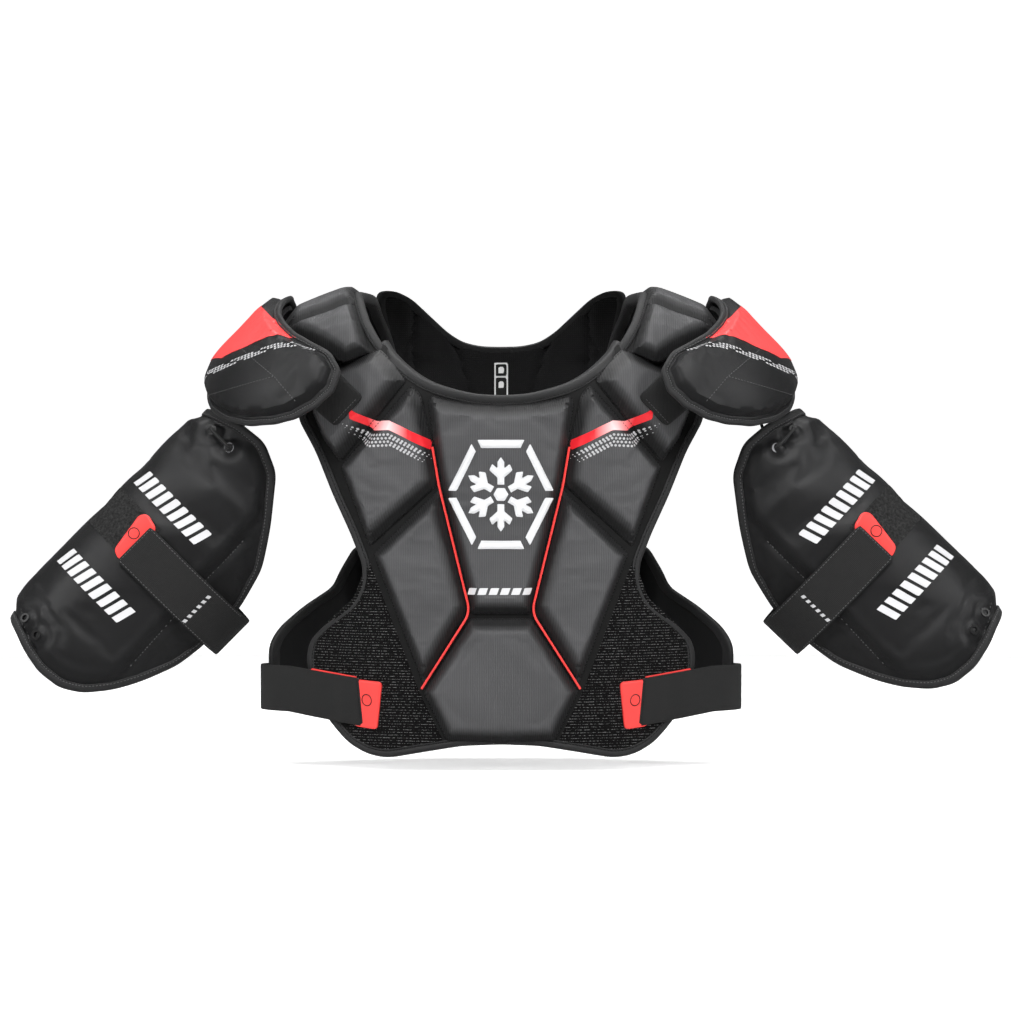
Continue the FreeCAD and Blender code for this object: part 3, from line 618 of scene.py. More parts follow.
# ------------------------------------------------------------------ looks
class Look:
    """A material put together from nodes; sockets are passed about as values."""

    def __init__(self, name, colour, roughness, **settings):
        self.material = bpy.data.materials.new(name)
        self.material.use_nodes = True
        self.tree = self.material.node_tree
        self.shader = self.tree.nodes["Principled BSDF"]
        self.shader.inputs["Base Color"].default_value = (*colour, 1)
        self.shader.inputs["Roughness"].default_value = roughness
        self.shader.inputs["Specular IOR Level"].default_value = 0.25
        for socket, value in settings.items():
            self.shader.inputs[socket.replace("_", " ")].default_value = value

    def node(self, kind, **inputs):
        made = self.tree.nodes.new("ShaderNode" + kind)
        for name, value in inputs.items():
            self.feed(made.inputs[name.replace("_", " ")], value)
        return made

    def feed(self, socket, value):
        if hasattr(value, "is_output"):
            self.tree.links.new(value, socket)
        else:
            socket.default_value = value

    def sums(self, operation, first, second=0.0, third=0.0):
        made = self.node("Math")
        made.operation = operation
        for socket, value in zip(made.inputs, (first, second, third)):
            self.feed(socket, value)
        return made.outputs[0]

    def cloth(self):
        """Millimetres along the two ways of the uncut cloth."""
        where = self.node("UVMap")
        parts = self.node("SeparateXYZ", Vector=where.outputs[0])
        return [self.sums("MULTIPLY", parts.outputs[k], 100.0) for k in (0, 1)]

    def ribs(self, along, period, sharp=1.0):
        """A wave from 0 to 1 with the given period in millimetres."""
        wave = self.sums("COSINE", self.sums("MULTIPLY", along, 2 * math.pi / period))
        rise = self.sums("MULTIPLY_ADD", wave, 0.5, 0.5)
        return self.sums("POWER", rise, sharp) if sharp != 1 else rise

    def grain(self, scale, detail=3.0, rough=0.55):
        """Noise in the space of the piece; scale is in cycles per metre."""
        place = self.node("TexCoord")
        made = self.node("TexNoise", Vector=place.outputs["Object"], Scale=scale, Detail=detail,
                         Roughness=rough)
        return made.outputs["Fac"]

    def colours(self, amount, low, high):
        """The base colour runs between two colours."""
        mix = self.node("Mix")
        mix.data_type = "RGBA"
        self.feed(mix.inputs[0], amount)
        mix.inputs[6].default_value = (*low, 1)
        mix.inputs[7].default_value = (*high, 1)
        self.tree.links.new(mix.outputs[2], self.shader.inputs["Base Color"])

    def roughness(self, amount, low, high):
        spread = self.node("MapRange", Value=amount, To_Min=low, To_Max=high)
        self.tree.links.new(spread.outputs[0], self.shader.inputs["Roughness"])

    def bumps(self, *layers):
        """Each layer is (height socket, depth in millimetres)."""
        normal = None
        for height, depth in layers:
            made = self.node("Bump", Strength=1.0, Distance=depth * MM, Height=height)
            if normal is not None:
                self.tree.links.new(normal, made.inputs["Normal"])
            normal = made.outputs[0]
        self.tree.links.new(normal, self.shader.inputs["Normal"])


def times(tone, factor):
    """A colour made lighter or darker."""
    return tuple(factor * c for c in tone)


def ribbed_cloth(name, tone, rough):
    """Nylon with fine upright ribs; painted shade darkens the bevels down into the seams and leaves the flat
    top of each block pale.
    """
    look = Look(name, tone, rough, Sheen_Weight=0.04, Sheen_Roughness=0.4)
    u, v = look.cloth()
    ribs = look.ribs(u, 2.0, 0.7)
    cross = look.ribs(v, 1.1)
    fine = look.grain(900, 2)
    broad = look.grain(14, 3)
    # painted shade: the colour is scaled from 0.2 on the bevels and seams up to 1 on the flat top of each
    # block
    painted_bevel_shade = look.node("Attribute")
    painted_bevel_shade.attribute_name = "painted_bevel_shade"
    shade = look.sums("MULTIPLY_ADD", painted_bevel_shade.outputs["Fac"], 0.8, 0.2)
    tint = look.sums("MULTIPLY_ADD", ribs, 0.18, look.sums("MULTIPLY_ADD", broad, 0.4, 0.39))
    look.colours(look.sums("MULTIPLY", shade, tint), (0.0, 0.0, 0.0), times(tone, 1.5))
    look.roughness(broad, rough - 0.06, rough + 0.1)
    look.bumps((broad, 0.5), (ribs, 0.13), (cross, 0.06), (fine, 0.08))
    return look.material


def coated_cloth(name, tone, rough):
    """Smooth coated nylon over a fine diagonal weave."""
    look = Look(name, tone, rough, Sheen_Weight=0.02, Sheen_Roughness=0.4)
    u, v = look.cloth()
    diagonal = look.sums("ADD", u, v)
    other = look.sums("SUBTRACT", u, v)
    weave = look.sums("MULTIPLY", look.ribs(diagonal, 1.3), look.ribs(other, 1.3))
    broad = look.grain(11, 4)
    fine = look.grain(700, 2)
    look.colours(look.sums("MULTIPLY_ADD", weave, 0.4, look.sums("MULTIPLY", broad, 0.6)),
                 times(tone, 0.7), times(tone, 1.35))
    look.roughness(broad, rough - 0.07, rough + 0.1)
    look.bumps((broad, 1.1), (weave, 0.1), (fine, 0.05))
    return look.material


def knit_lining(name, tone):
    """Soft knitted lining with small cells."""
    look = Look(name, tone, 0.85, Sheen_Weight=0.05, Sheen_Roughness=0.5)
    u, v = look.cloth()
    cells = look.sums("MULTIPLY", look.ribs(u, 2.0), look.ribs(look.sums("MULTIPLY_ADD", v, 1.0, 0.5), 2.0))
    fuzz = look.grain(500, 4)
    look.colours(cells, times(tone, 0.6), times(tone, 1.4))
    look.bumps((cells, 0.3), (fuzz, 0.2))
    return look.material


def woven_tape(name, tone, rough, period, strength=0.2):
    """Tape ribbed across its run."""
    look = Look(name, tone, rough, Sheen_Weight=0.05, Sheen_Roughness=0.45)
    u, v = look.cloth()
    ribs = look.ribs(u, period)
    cross = look.ribs(v, period * 0.7)
    fuzz = look.grain(800, 3)
    look.colours(look.sums("MULTIPLY_ADD", ribs, 0.6, look.sums("MULTIPLY", fuzz, 0.4)),
                 times(tone, 0.55), times(tone, 1.4))
    look.bumps((ribs, strength), (cross, strength * 0.5), (fuzz, 0.12))
    return look.material


def loop_pile(name):
    """Fuzzy loop fabric with rows of pale flecks."""
    look = Look(name, (0.004, 0.004, 0.004), 0.95, Specular_IOR_Level=0.1)
    u, v = look.cloth()
    fuzz = look.grain(420, 5, 0.7)
    rows = look.ribs(v, 2.5, 1.8)
    spot = look.node("TexNoise", Scale=1.0, Detail=2.0, Roughness=0.6)
    squeezed = look.node("CombineXYZ", X=look.sums("MULTIPLY", u, 0.55), Y=look.sums("MULTIPLY", v, 1.3))
    look.tree.links.new(squeezed.outputs[0], spot.inputs["Vector"])
    fleck = look.sums("GREATER_THAN", look.sums("MULTIPLY", rows, spot.outputs["Fac"]), 0.44)
    broken = look.sums("GREATER_THAN", look.grain(700, 2), 0.5)
    look.colours(look.sums("MULTIPLY", fleck, broken), (0.004, 0.004, 0.004), (0.13, 0.13, 0.13))
    look.bumps((rows, 0.5), (fuzz, 1.4))
    return look.material


def fuzzy(name, tone):
    """Short dense loops with no pattern."""
    look = Look(name, (tone,) * 3, 0.95, Specular_IOR_Level=0.1)
    fuzz = look.grain(420, 5, 0.7)
    look.colours(look.sums("POWER", fuzz, 2.2), (0.1 * tone,) * 3, (6.0 * tone,) * 3)
    look.bumps((fuzz, 1.4))
    return look.material


def plain(name, colour, rough, bump=0.0, **settings):
    """One even colour, with a fine grain if bump is above 0."""
    look = Look(name, colour, rough, **settings)
    if bump:
        look.bumps((look.grain(600, 3), bump))
    return look.material


STRIPE_MIDDLE = 103.0


def striped(name):
    """Red film that fades to a pale pink along its middle."""
    look = Look(name, (0.7, 0.02, 0.03), 0.35)
    from_middle = look.sums("ADD", look.sums("ABSOLUTE", look.cloth()[0]), -STRIPE_MIDDLE)
    middle = look.sums("ABSOLUTE", from_middle)
    fade = look.node("MapRange", Value=middle, From_Min=2.0, From_Max=20.0, To_Min=1.0, To_Max=0.0)
    look.colours(fade.outputs[0], (0.68, 0.017, 0.025), (0.95, 0.55, 0.55))
    look.bumps((look.grain(700, 2), 0.05))
    return look.material


RIBBED = ribbed_cloth("ribbed_nylon", (0.058, 0.058, 0.06), 0.42)
SHELL = coated_cloth("coated_nylon", (0.0115, 0.0115, 0.012), 0.34)
VALLEY = coated_cloth("seam_cloth", (0.004, 0.004, 0.004), 0.6)
LINING = knit_lining("knit_lining", (0.0045, 0.0045, 0.005))
TAPE = woven_tape("binding_tape", (0.019, 0.019, 0.0195), 0.5, 1.0, 0.1)
DARK_TAPE = woven_tape("dark_binding_tape", (0.017, 0.017, 0.0175), 0.45, 1.0, 0.1)
ELASTIC = woven_tape("elastic_webbing", (0.013, 0.013, 0.013), 0.75, 1.2, 0.2)
PILE = loop_pile("loop_pile")
FUZZ = fuzzy("short_loop_pile", 0.015)
THREAD = plain("thread", (0.003, 0.003, 0.003), 0.45)
RED = plain("red_rubber", (0.8, 0.05, 0.045), 0.38, 0.08)
RED_FILM = plain("red_film", (0.8, 0.07, 0.07), 0.36, 0.06)
STRIPE = striped("stripe_film")
WHITE_PRINT = plain("white_print", (0.55, 0.55, 0.56), 0.45, 0.06)
GREY_PRINT = plain("grey_print", (0.42, 0.42, 0.43), 0.5, 0.05)
BADGE_WHITE = plain("badge_silicone", (0.62, 0.625, 0.635), 0.3, 0.05)
SHELL_THREAD = plain("shell_thread", (0.085, 0.085, 0.086), 0.5)
METAL = plain("bright_metal", (0.5, 0.5, 0.52), 0.25, Metallic=0.6)
BLACK_METAL = plain("black_metal", (0.03, 0.03, 0.03), 0.28, Metallic=0.8)
CORD = woven_tape("cord_braid", (0.012, 0.012, 0.012), 0.6, 1.5)
LABEL_WHITE = plain("label_white", (0.8, 0.8, 0.8), 0.6)
LABEL_BLACK = plain("label_black", (0.01, 0.01, 0.01), 0.6)
TAB_MARK = plain("tab_mark", (0.05, 0.012, 0.012), 0.5)

# ------------------------------------------------------------------ outlines, left half or left side
NECKLINE = [(0, -77), (-25, -75.5), (-46, -70.5), (-62, -65.5), (-75, -58.5), (-87, -49.5), (-98, -39),
            (-107, -28)]
ARMHOLE = [(-118, -34), (-142, -42), (-166, -54), (-180, -78), (-184, -97), (-167, -127), (-151, -166),
           (-135, -200), (-124, -228), (-124, -244), (-132, -263)]
WING_EDGE = [(-159, -284), (-173, -299), (-175.5, -315), (-170, -346), (-152, -372), (-137, -388),
             (-120, -397), (-103, -400), (-71, -394), (-35, -388)]
CHEST_EDGE = whole(NECKLINE + ARMHOLE + WING_EDGE + [(0, -386.6)])
STERNUM = whole([(0, -84), (-30, -82.5), (-52, -79), (-65, -75.5), (-68.5, -82), (-63, -120), (-56.7, -154),
                 (-29.7, -264), (-28, -271), (0, -271)])
BELLY = whole([(0, -275), (-29.7, -275), (-73, -340.6), (-50.4, -384.7), (0, -386)])
RIB = [(-119.7, -218), (-57.6, -159.7), (-30.6, -264), (-33.3, -272), (-72, -336)]
CHEST_PAD = [(-83.5, -66.5), (-75, -76), (-63, -122), (-58.5, -155), (-123.3, -212), (-150.5, -140)]
COLLAR = [(-142, -45), (-114, -35), (-99, -48), (-88, -63), (-151, -137), (-167.4, -116.5),
          (-178.2, -91.3), (-166, -58)]
LOOP_WING = [(-119.7, -221), (-132, -258), (-153, -277), (-168, -294), (-171, -315), (-165, -344),
             (-149, -368), (-134, -384), (-118, -392), (-103, -395), (-73, -389), (-50.4, -386.5),
             (-73, -341.5)]
PIPING = [(-63, -122), (-57, -156.5), (-29.5, -265), (-31, -273.5), (-73, -338)]
BACK_EDGE = whole([(0, -35.5), (-20, -35), (-38, -31), (-53, -22), (-70, -7), (-88, 9), (-103, 16),
                   (-117, 16), (-119, 3), (-115, -14), (-110, -36), (-130, -46), (-160, -56), (-172, -90),
                   (-158, -140), (-140, -190), (-133, -222), (-122, -340), (-60, -352), (0, -354)])
BACK_GROOVES = [[(-48, -26), (-40, -50), (-30, -90), (-28, -200)],
                [(-83, 6), (-87, -22), (-84, -60), (-62, -130)],
                [(-87, -22), (-97, -44), (-103, -80)]]
CENTRE_BACK = whole([(0, -62), (-36, -62), (-31, -206), (-118, -216), (-110, -336), (0, -344)])
BLADE = [(-42, -62), (-118, -56), (-156, -72), (-146, -140), (-126, -196), (-37, -206)]
BACK_WING = [(-62, -222), (-131, -216), (-145, -240), (-151, -254), (-177, -271), (-198, -289), (-207, -304),
             (-207, -352), (-158, -366), (-62, -342)]
YOKE_MEDIAL = [(-102, 108), (-111, 92), (-118, 74), (-122, 55), (-125, 30), (-126, 8), (-124, -8),
               (-114, -26), (-109, -60), (-101, -90), (-95, -118)]
YOKE_NECK_END = (-95, 120)
YOKE_ARM_SIDE = [(-118, 108), (-141, 119), (-166, 92), (-192, 66), (-197, 0), (-190, -66), (-170, -112)]
YOKE_BASE = YOKE_ARM_SIDE + YOKE_MEDIAL[::-1]
YOKE_FRONT = [(-117, 108), (-141, 118), (-165, 92), (-190, 67), (-193, 49), (-131, 44), (-126, 68)]
YOKE_TOP = [(-130, 41), (-194, 46), (-195, -54), (-119, -54), (-122, -25), (-132, 0), (-130, 22)]
YOKE_REAR = [(-118, -60), (-181, -60), (-172, -108), (-104, -113), (-111, -88)]
CAP_FRONT = [(-198, 11), (-201, 1), (-196, -8), (-185, -19), (-169, -28), (-152, -37), (-142.5, -54),
             (-149, -72), (-164, -86), (-184, -97), (-203, -102), (-226, -104), (-247, -100), (-261, -92),
             (-267, -76)]
CAP_REAR = [(-190, 14.5), (-188, 7), (-187, -4), (-176, -18), (-163, -28), (-150, -38)] + CAP_FRONT[6:]
CAP_BAND_LOWER = [(-183.6, -23.8), (-195.3, -22.9), (-213.3, -26.5), (-231.3, -35.5), (-248.4, -45.4),
                  (-263.7, -56.2)]
CAP_BAND_UPPER = [(-197.1, -11.2), (-207, -4), (-213, -0.5)]
CAP_DASH_LINE = [(-166.5, -35.5), (-180, -31.5), (-196, -32), (-214, -37), (-232, -45), (-248, -53),
                 (-262, -60)]
CAP_SEAM_CENTRE = (-200.7, -60.7)
CAP_SEAM_ENDS = [(-232.2, -35.5), (-181.8, -82.3), (-260, -78.7)]
CAP_STRAP = [(-156, -45), (-122.4, -77.8), (-146.7, -104.8), (-181, -76)]
GUARD_FRONT = [(-26, 2), (-12, 9), (6, 15), (34, 18), (62, 6), (93, -31), (116, -65), (127, -106),
               (127, -153), (123, -180), (110, -212), (96, -237), (80, -257), (60, -268), (31, -271),
               (4, -267), (-14, -261), (-26, -257)]
GUARD_BACK = [(-14, -261), (4, -267), (31, -268), (60, -262), (60, -34), (45, -12), (28, 0), (6, 2), (-12, 2)]
GUARD_SEAM = [(86, -54), (87, -104), (91, -165), (94, -214)]
GUARD_END_LINE = [(-20, -243), (4, -259), (31, -264), (60, -261), (74, -253)]
LOWER_EYELETS = [(-7, -246), (11, -249)]
UPPER_EYELETS = [(-6, -7), (16, -7)]
EYELETS = LOWER_EYELETS + UPPER_EYELETS
LACE_MIDDLE = (5, -7)
STRAP_LOW, STRAP_HIGH, ARM_STRAP_HINGE_X = -150, -107, 128.15
GUARD_TAB = [(-3, -20), (5, -23), (10, -21), (12, 17), (9, 21), (-4, 24), (-9, 18)]
BADGE_Z = -164.0
SIDE_TAB = [(-15, 21), (14, 20), (14, -22), (-10, -22)]

CHEST = chest_form()
CHEST_LOW = chest_form(220.0)
BACK = back_form()
BLOCK_RISE = pillow(4.4, 15.2, 11.0, 0.7)
YOKE_RISE = pillow(7.4, 16.4, 10.0, 0.6)
RELIEF = {}


def blocks_lift(blocks, sign=1):
    """The height of a field of named blocks at any flat point."""
    loops = [(anticlockwise(softened(turned(points, sign), 3)), RELIEF.get(name)) for name, points in blocks]

    def lift(u, v):
        flat = pairs(u, v)
        made = np.full(len(flat), SEAM_CLOTH_LIFT)
        for loop, extra in loops:
            inside = within(flat, loop)
            if inside.any():
                depth = path_distance(flat[inside], loop)
                made[inside] = BLOCK_RISE(flat[inside, 0], flat[inside, 1], depth)
                if extra:
                    made[inside] += extra(sign * flat[inside, 0], flat[inside, 1])
        return made
    return lift


def add_block(name, points, place, body, replaces, sign=1, rise=BLOCK_RISE, low=1.0):
    """One moulded foam block under cloth, with a stitched foot; points are those of the left block."""
    key = name.replace("left_", "").replace("right_", "")
    if key not in RELIEF:
        RELIEF[key] = cloth_relief(anticlockwise(softened(points, 3)), place, rise)
    extra = RELIEF[key]
    loop = anticlockwise(softened(turned(points, sign), 3))
    # the last value, 11.0, is the foot: the width of the bevel that gets painted shade
    piece = patch(name, loop, place, lambda u, v, d: rise(u, v, d) + extra(sign * u, v), level(low), RIBBED,
                  2.1, (0.9, 5.5, 10.0, 11.6), 30, 11.0)
    finish_piece(piece, body, replaces)
    row = resampled(loop, 1.5)
    row = row + inward(row) * 0.6
    seam = stitches(name + "_stitches", [(row, True)], place, 5.3, THREAD, 3.0, 1.9, 0.4)
    finish_piece(seam, body)


def add_binding(name, path, place, body, low, high, closed=True, replaces=(), width=BINDING, look=TAPE,
                thread=THREAD, sink=None):
    """A tape folded over an edge, from the low lift to the high one, with its row of stitches.

    Sink gives how much lower the tape lies at each u.
    """
    path = resampled(path, 2.5, closed)
    if closed:
        path = anticlockwise(path)
    middle = (low + high) / 2
    section = [(-1.0, middle), (-0.8, high - 1.6), (0.2, high - 0.3), (1.6, high), (width - 2.6, high),
               (width - 2.0, high - 0.55), (width - 1.4, high - 0.55), (width - 0.8, high - 0.1),
               (width, high - 0.7), (width, low + 0.7), (width - 0.5, low + 0.15), (1.6, low),
               (0.2, low + 0.3), (-0.8, low + 1.6)]
    if sink:
        section = [(across, lambda u, v, lift=lift: lift - sink(u)) for across, lift in section]
    piece = band(name, path, place, section, look, closed)
    finish_piece(piece, body, replaces)
    row = path + inward(path, closed) * (width - 1.7)
    row_lift = (lambda u, v: high - 0.3 - sink(u)) if sink else high - 0.3
    seam = stitches(name + "_stitches", [(row, closed)], place, row_lift, thread, 3.2, 2.0, 0.45)
    finish_piece(seam, body)


# ------------------------------------------------------------------ front panel
def build_front():
    edge = anticlockwise(softened(CHEST_EDGE, 9))
    lining = patch("chest_lining", edge, CHEST_LOW, level(-0.3), level(-3.8), LINING, 7, (2,))
    finish_piece(lining, "front_panel", ["chest_liner"])
    cloth = patch("chest_seam_cloth", edge, CHEST_LOW, level(SEAM_CLOTH_LIFT), level(0.0), VALLEY, 6, (2,))
    finish_piece(cloth, "front_panel")
    add_block("sternum_block", STERNUM, CHEST, "front_panel", ["sternum_pad"])
    add_block("belly_block", BELLY, CHEST, "front_panel", ["belly_pad"])
    for side, sign in SIDES.items():
        add_block(side + "_rib_block", RIB, CHEST, "front_panel", [side + "_rib_pad"], sign)
        add_block(side + "_chest_block", CHEST_PAD, CHEST, "front_panel", [side + "_chest_pad"], sign)
        add_block(side + "_collar_block", COLLAR, CHEST, "front_panel", [side + "_collar_pad"], sign)
        wing = patch(side + "_loop_fabric", anticlockwise(softened(turned(LOOP_WING, sign), 6)), CHEST_LOW,
                     pillow(4.3, 5.4, 3), level(0.5), PILE, 4)
        finish_piece(wing, "front_panel", [side + "_loop_wing"])
        add_front_prints(side, sign)
    for side, sign in SIDES.items():
        path = resampled(softened(turned(PIPING, sign), 6, False), 2.5, False)
        cord = band(side + "_red_piping", path, CHEST, ring_of(8, 1.1, (0, 8.0)), RED, False, 80)
        finish_piece(cord, "front_panel", ["red_piping"])
    half = NECKLINE[::-1]
    neck = softened(half + [(-u, v) for u, v in half[-2::-1]], 9, False)
    add_binding("neck_front_binding", neck[::-1], CHEST_LOW, "front_panel", -4.5, 5.6, False, width=8,
                sink=lambda u: 3 * np.clip((np.abs(u) - 99) / 6, 0, 1))
    hem = ARMHOLE[2:] + WING_EDGE + [(0, -386.6)]
    hem = softened(hem + [(-u, v) for u, v in reversed(hem[:-1])], 9, False)
    add_binding("chest_edge_binding", hem, CHEST_LOW, "front_panel", -4.5, 5.4, False, ["chest_binding"])
    build_badge()


def strip(points, width):
    """A closed shape that hangs below a path by the given width."""
    return points + [(u, v - width) for u, v in reversed(points)]


def add_front_prints(side, sign):
    """The faded stripe, and the band of dots that shrink towards its ends, across two blocks."""
    lift = blocks_lift([("chest_block", CHEST_PAD), ("collar_block", COLLAR)], sign)
    stripe = [(-135, -88.6), (-117, -99.4), (-99.9, -98.5), (-77.4, -109.3), (-64.5, -116.4)]
    film = patch(side + "_stripe", anticlockwise(resampled(turned(strip(stripe, 8.5), sign), 1.5)), CHEST,
                 lambda u, v, d: lift(u, v) + 0.35, lambda u, v, d: lift(u, v) - 0.4, STRIPE, 1.8, (0.6,))
    finish_piece(film, "front_panel")
    line = resampled([(-141, -102), (-120, -112), (-100, -111), (-80, -121), (-66, -129)], 3.6, False)
    spots = []
    for row in range(4):
        for i, (u, v) in enumerate(line):
            shift = 1.8 * (row % 2)
            fade = min(1, (i + 1.5 - row * 0.6) / 5, (len(line) - i + 1.0 - row * 0.8) / 5)
            if fade > 0.15:
                spots.append((sign * (u + shift), v - 3.2 * row, 1.15 * fade))
    print_dots = dots(side + "_dot_band", spots, CHEST, lift, GREY_PRINT)
    finish_piece(print_dots, "front_panel")


def badge_shapes():
    """Six frame bars and six branches, each turned into its place, and a small hexagon in the middle."""
    middle = np.array([0.0, BADGE_Z])
    tall = np.array([1.0, 1.16])
    frame_bar = [(35.5, -17.5), (42, -21), (42, 21), (35.5, 17.5)]
    half_branch = [(8.5, -3.2), (15, -3.2), (21.5, -10.5), (27.5, -7.8), (23.5, -3.2), (29, -3.2)]
    branch = half_branch + [(33.5, 0)] + [(a, -c) for a, c in reversed(half_branch)]
    shapes = []
    for arm in range(6):
        turn = math.radians(60 * arm + 30)
        along = np.array([math.cos(turn), math.sin(turn)])
        across = np.array([-along[1], along[0]])
        for outline, stretch in ((frame_bar, tall), (branch, np.ones(2))):
            shapes.append([tuple(middle + (along * a + across * c) * stretch) for a, c in outline])
    return shapes + [ring_of(6, 6.8, middle)]


def build_badge():
    """A generic raised six-sided frame, open at its corners, round a snow crystal."""
    raised = pillow(15.6, 18.6, 2.4)

    def badge_top(u, v, depth):
        return raised(u, v, depth) + RELIEF["sternum_block"](u, v)
    for index, shape in enumerate(badge_shapes()):
        loop = anticlockwise(resampled(shape, 1.1))
        piece = patch(f"badge_{index}", loop, CHEST, badge_top, level(14.5), BADGE_WHITE, 1.3,
                      (0.6, 1.4, 2.4), 25)
        finish_piece(piece, "front_panel", ["emblem_badge"])
    low, high = -253.5, -247.5
    slashes = [[(x, low), (x + 7.4, low), (x + 9.6, high), (x + 2.2, high)] for x in range(-31, 22, 10)]
    lift = blocks_lift([("sternum_block", STERNUM)])
    row = prints("sternum_slashes", slashes, CHEST, lift, WHITE_PRINT, 0.6, 1.5)
    finish_piece(row, "front_panel")


# ------------------------------------------------------------------ back panel
def build_back():
    edge = anticlockwise(softened(BACK_EDGE, 9))
    grooves = [resampled(curved(turned(half, sign), False), 3, False)
               for half in BACK_GROOVES for sign in (1, -1)]

    def inner_face(u, v, depth):
        near = np.min([path_distance(pairs(u, v), groove, False) for groove in grooves], axis=0)
        return -6.4 + 3.4 * np.exp(-(near / 2.6) ** 2) + 2.2 * np.exp(-depth / 6)
    lining = patch("back_lining", edge, BACK, level(-0.3), inner_face, LINING, 4, (1.5, 4))
    finish_piece(lining, "vest", ["back_liner"])
    rows = [(row, False) for row in grooves]
    line = stitches("back_lining_seams", rows, BACK, -3.1, THREAD, 3.2, 2.0, 0.35)
    finish_piece(line, "vest")
    cloth = patch("back_seam_cloth", edge, BACK, level(SEAM_CLOTH_LIFT), level(0.0), VALLEY, 6, (2,))
    finish_piece(cloth, "vest")
    add_block("back_centre_block", CENTRE_BACK, BACK, "vest", ["back_centre_pad"])
    for side, sign in SIDES.items():
        add_block(side + "_blade_block", BLADE, BACK, "vest", [side + "_shoulder_blade_pad"], sign)
        wing_edge = anticlockwise(softened(turned(BACK_WING, sign), 8))
        wing = patch(side + "_back_wing_cloth", wing_edge, BACK, pillow(18.6, 20.2, 5), level(15.4), SHELL, 5)
        finish_piece(wing, "vest", [side + "_back_wing"])
        add_binding(side + "_back_wing_binding", wing_edge, BACK, "vest", 14.9, 20.6)
    add_binding("back_edge_binding", edge, BACK, "vest", -5.4, 5.6, replaces=["neck_binding"])
    build_label()


def build_label():
    """The size label: a pale frame round plain bars."""
    def card(name, half_width, low, high, lift, look):
        corners = [(-half_width, low), (half_width, low), (half_width, high), (-half_width, high)]
        loop = anticlockwise(resampled(corners, 0.9))
        piece = patch(name, loop, BACK, level(lift), level(lift - 0.5), look, 2.5, (0.6,))
        finish_piece(piece, "vest", ["size_label"])
    card("label_card", 6.8, -84, -49, -7.0, LABEL_WHITE)
    card("label_field", 5.4, -61.0, -50.4, -7.5, LABEL_BLACK)
    card("label_mark", 2.8, -58.6, -52.8, -8.0, LABEL_WHITE)
    card("label_lower_field", 5.4, -83, -62.6, -7.5, LABEL_BLACK)
    card("label_bars", 2.6, -72, -66, -8.0, LABEL_WHITE)


# ------------------------------------------------------------------ yokes
def build_yokes():
    for side, sign in SIDES.items():
        base = anticlockwise(softened(turned(YOKE_BASE, sign), 5))
        lining = patch(side + "_yoke_lining", base, yoke_form, level(3.4), level(0.5), LINING, 6, (2,))
        finish_piece(lining, "vest", [side + "_yoke_liner"])
        cloth = patch(side + "_yoke_cloth", base, yoke_form, level(7.0), level(3.6), VALLEY, 5, (2,))
        finish_piece(cloth, "vest")
        pads = [side + "_yoke_pads"]
        for part, points in (("front", YOKE_FRONT), ("top", YOKE_TOP), ("rear", YOKE_REAR)):
            add_block(f"{side}_yoke_{part}", points, yoke_form, "vest", pads, sign, YOKE_RISE, 4.0)
        medial = resampled(softened(turned([YOKE_NECK_END] + YOKE_MEDIAL, sign), 5, False), 2.5, False)
        add_binding(side + "_yoke_binding", medial[::-sign], yoke_form, "vest", -0.5, 10.0, False, width=8)


# ------------------------------------------------------------------ shoulder caps
def cap_loop():
    """The outline of a cap on its flat map, from its front half and its rear half."""
    return on_cap_map(CAP_FRONT) + [(u, -v) for u, v in reversed(on_cap_map(CAP_REAR))]

def eased(t):
    """A smooth step from 0 to 1, for t from 0 to 1."""
    return t * t * (3 - 2 * t)


def cap_rise(u, v, depth):
    """A flat hem, a stitched groove, then a padded dome."""
    t = np.clip((depth - 8.5) / 7.0, 0, 1)
    height = -0.8 + 6.4 * t * t * (3 - 2 * t) + 1.2 * (1 - np.exp(-depth / 30))
    return height - 0.9 * np.exp(-((depth - 8) / 1.4) ** 2)


def cap_band():
    """The outline of the red band over a cap on its flat map, the same in front and behind."""
    low, high = on_cap_map(CAP_BAND_LOWER), on_cap_map(CAP_BAND_UPPER)
    front = low[::-1] + high
    behind = [(u, -v) for u, v in reversed(high)] + [(u, -v) for u, v in low[:-1]]
    return anticlockwise(resampled(front + behind, 2))


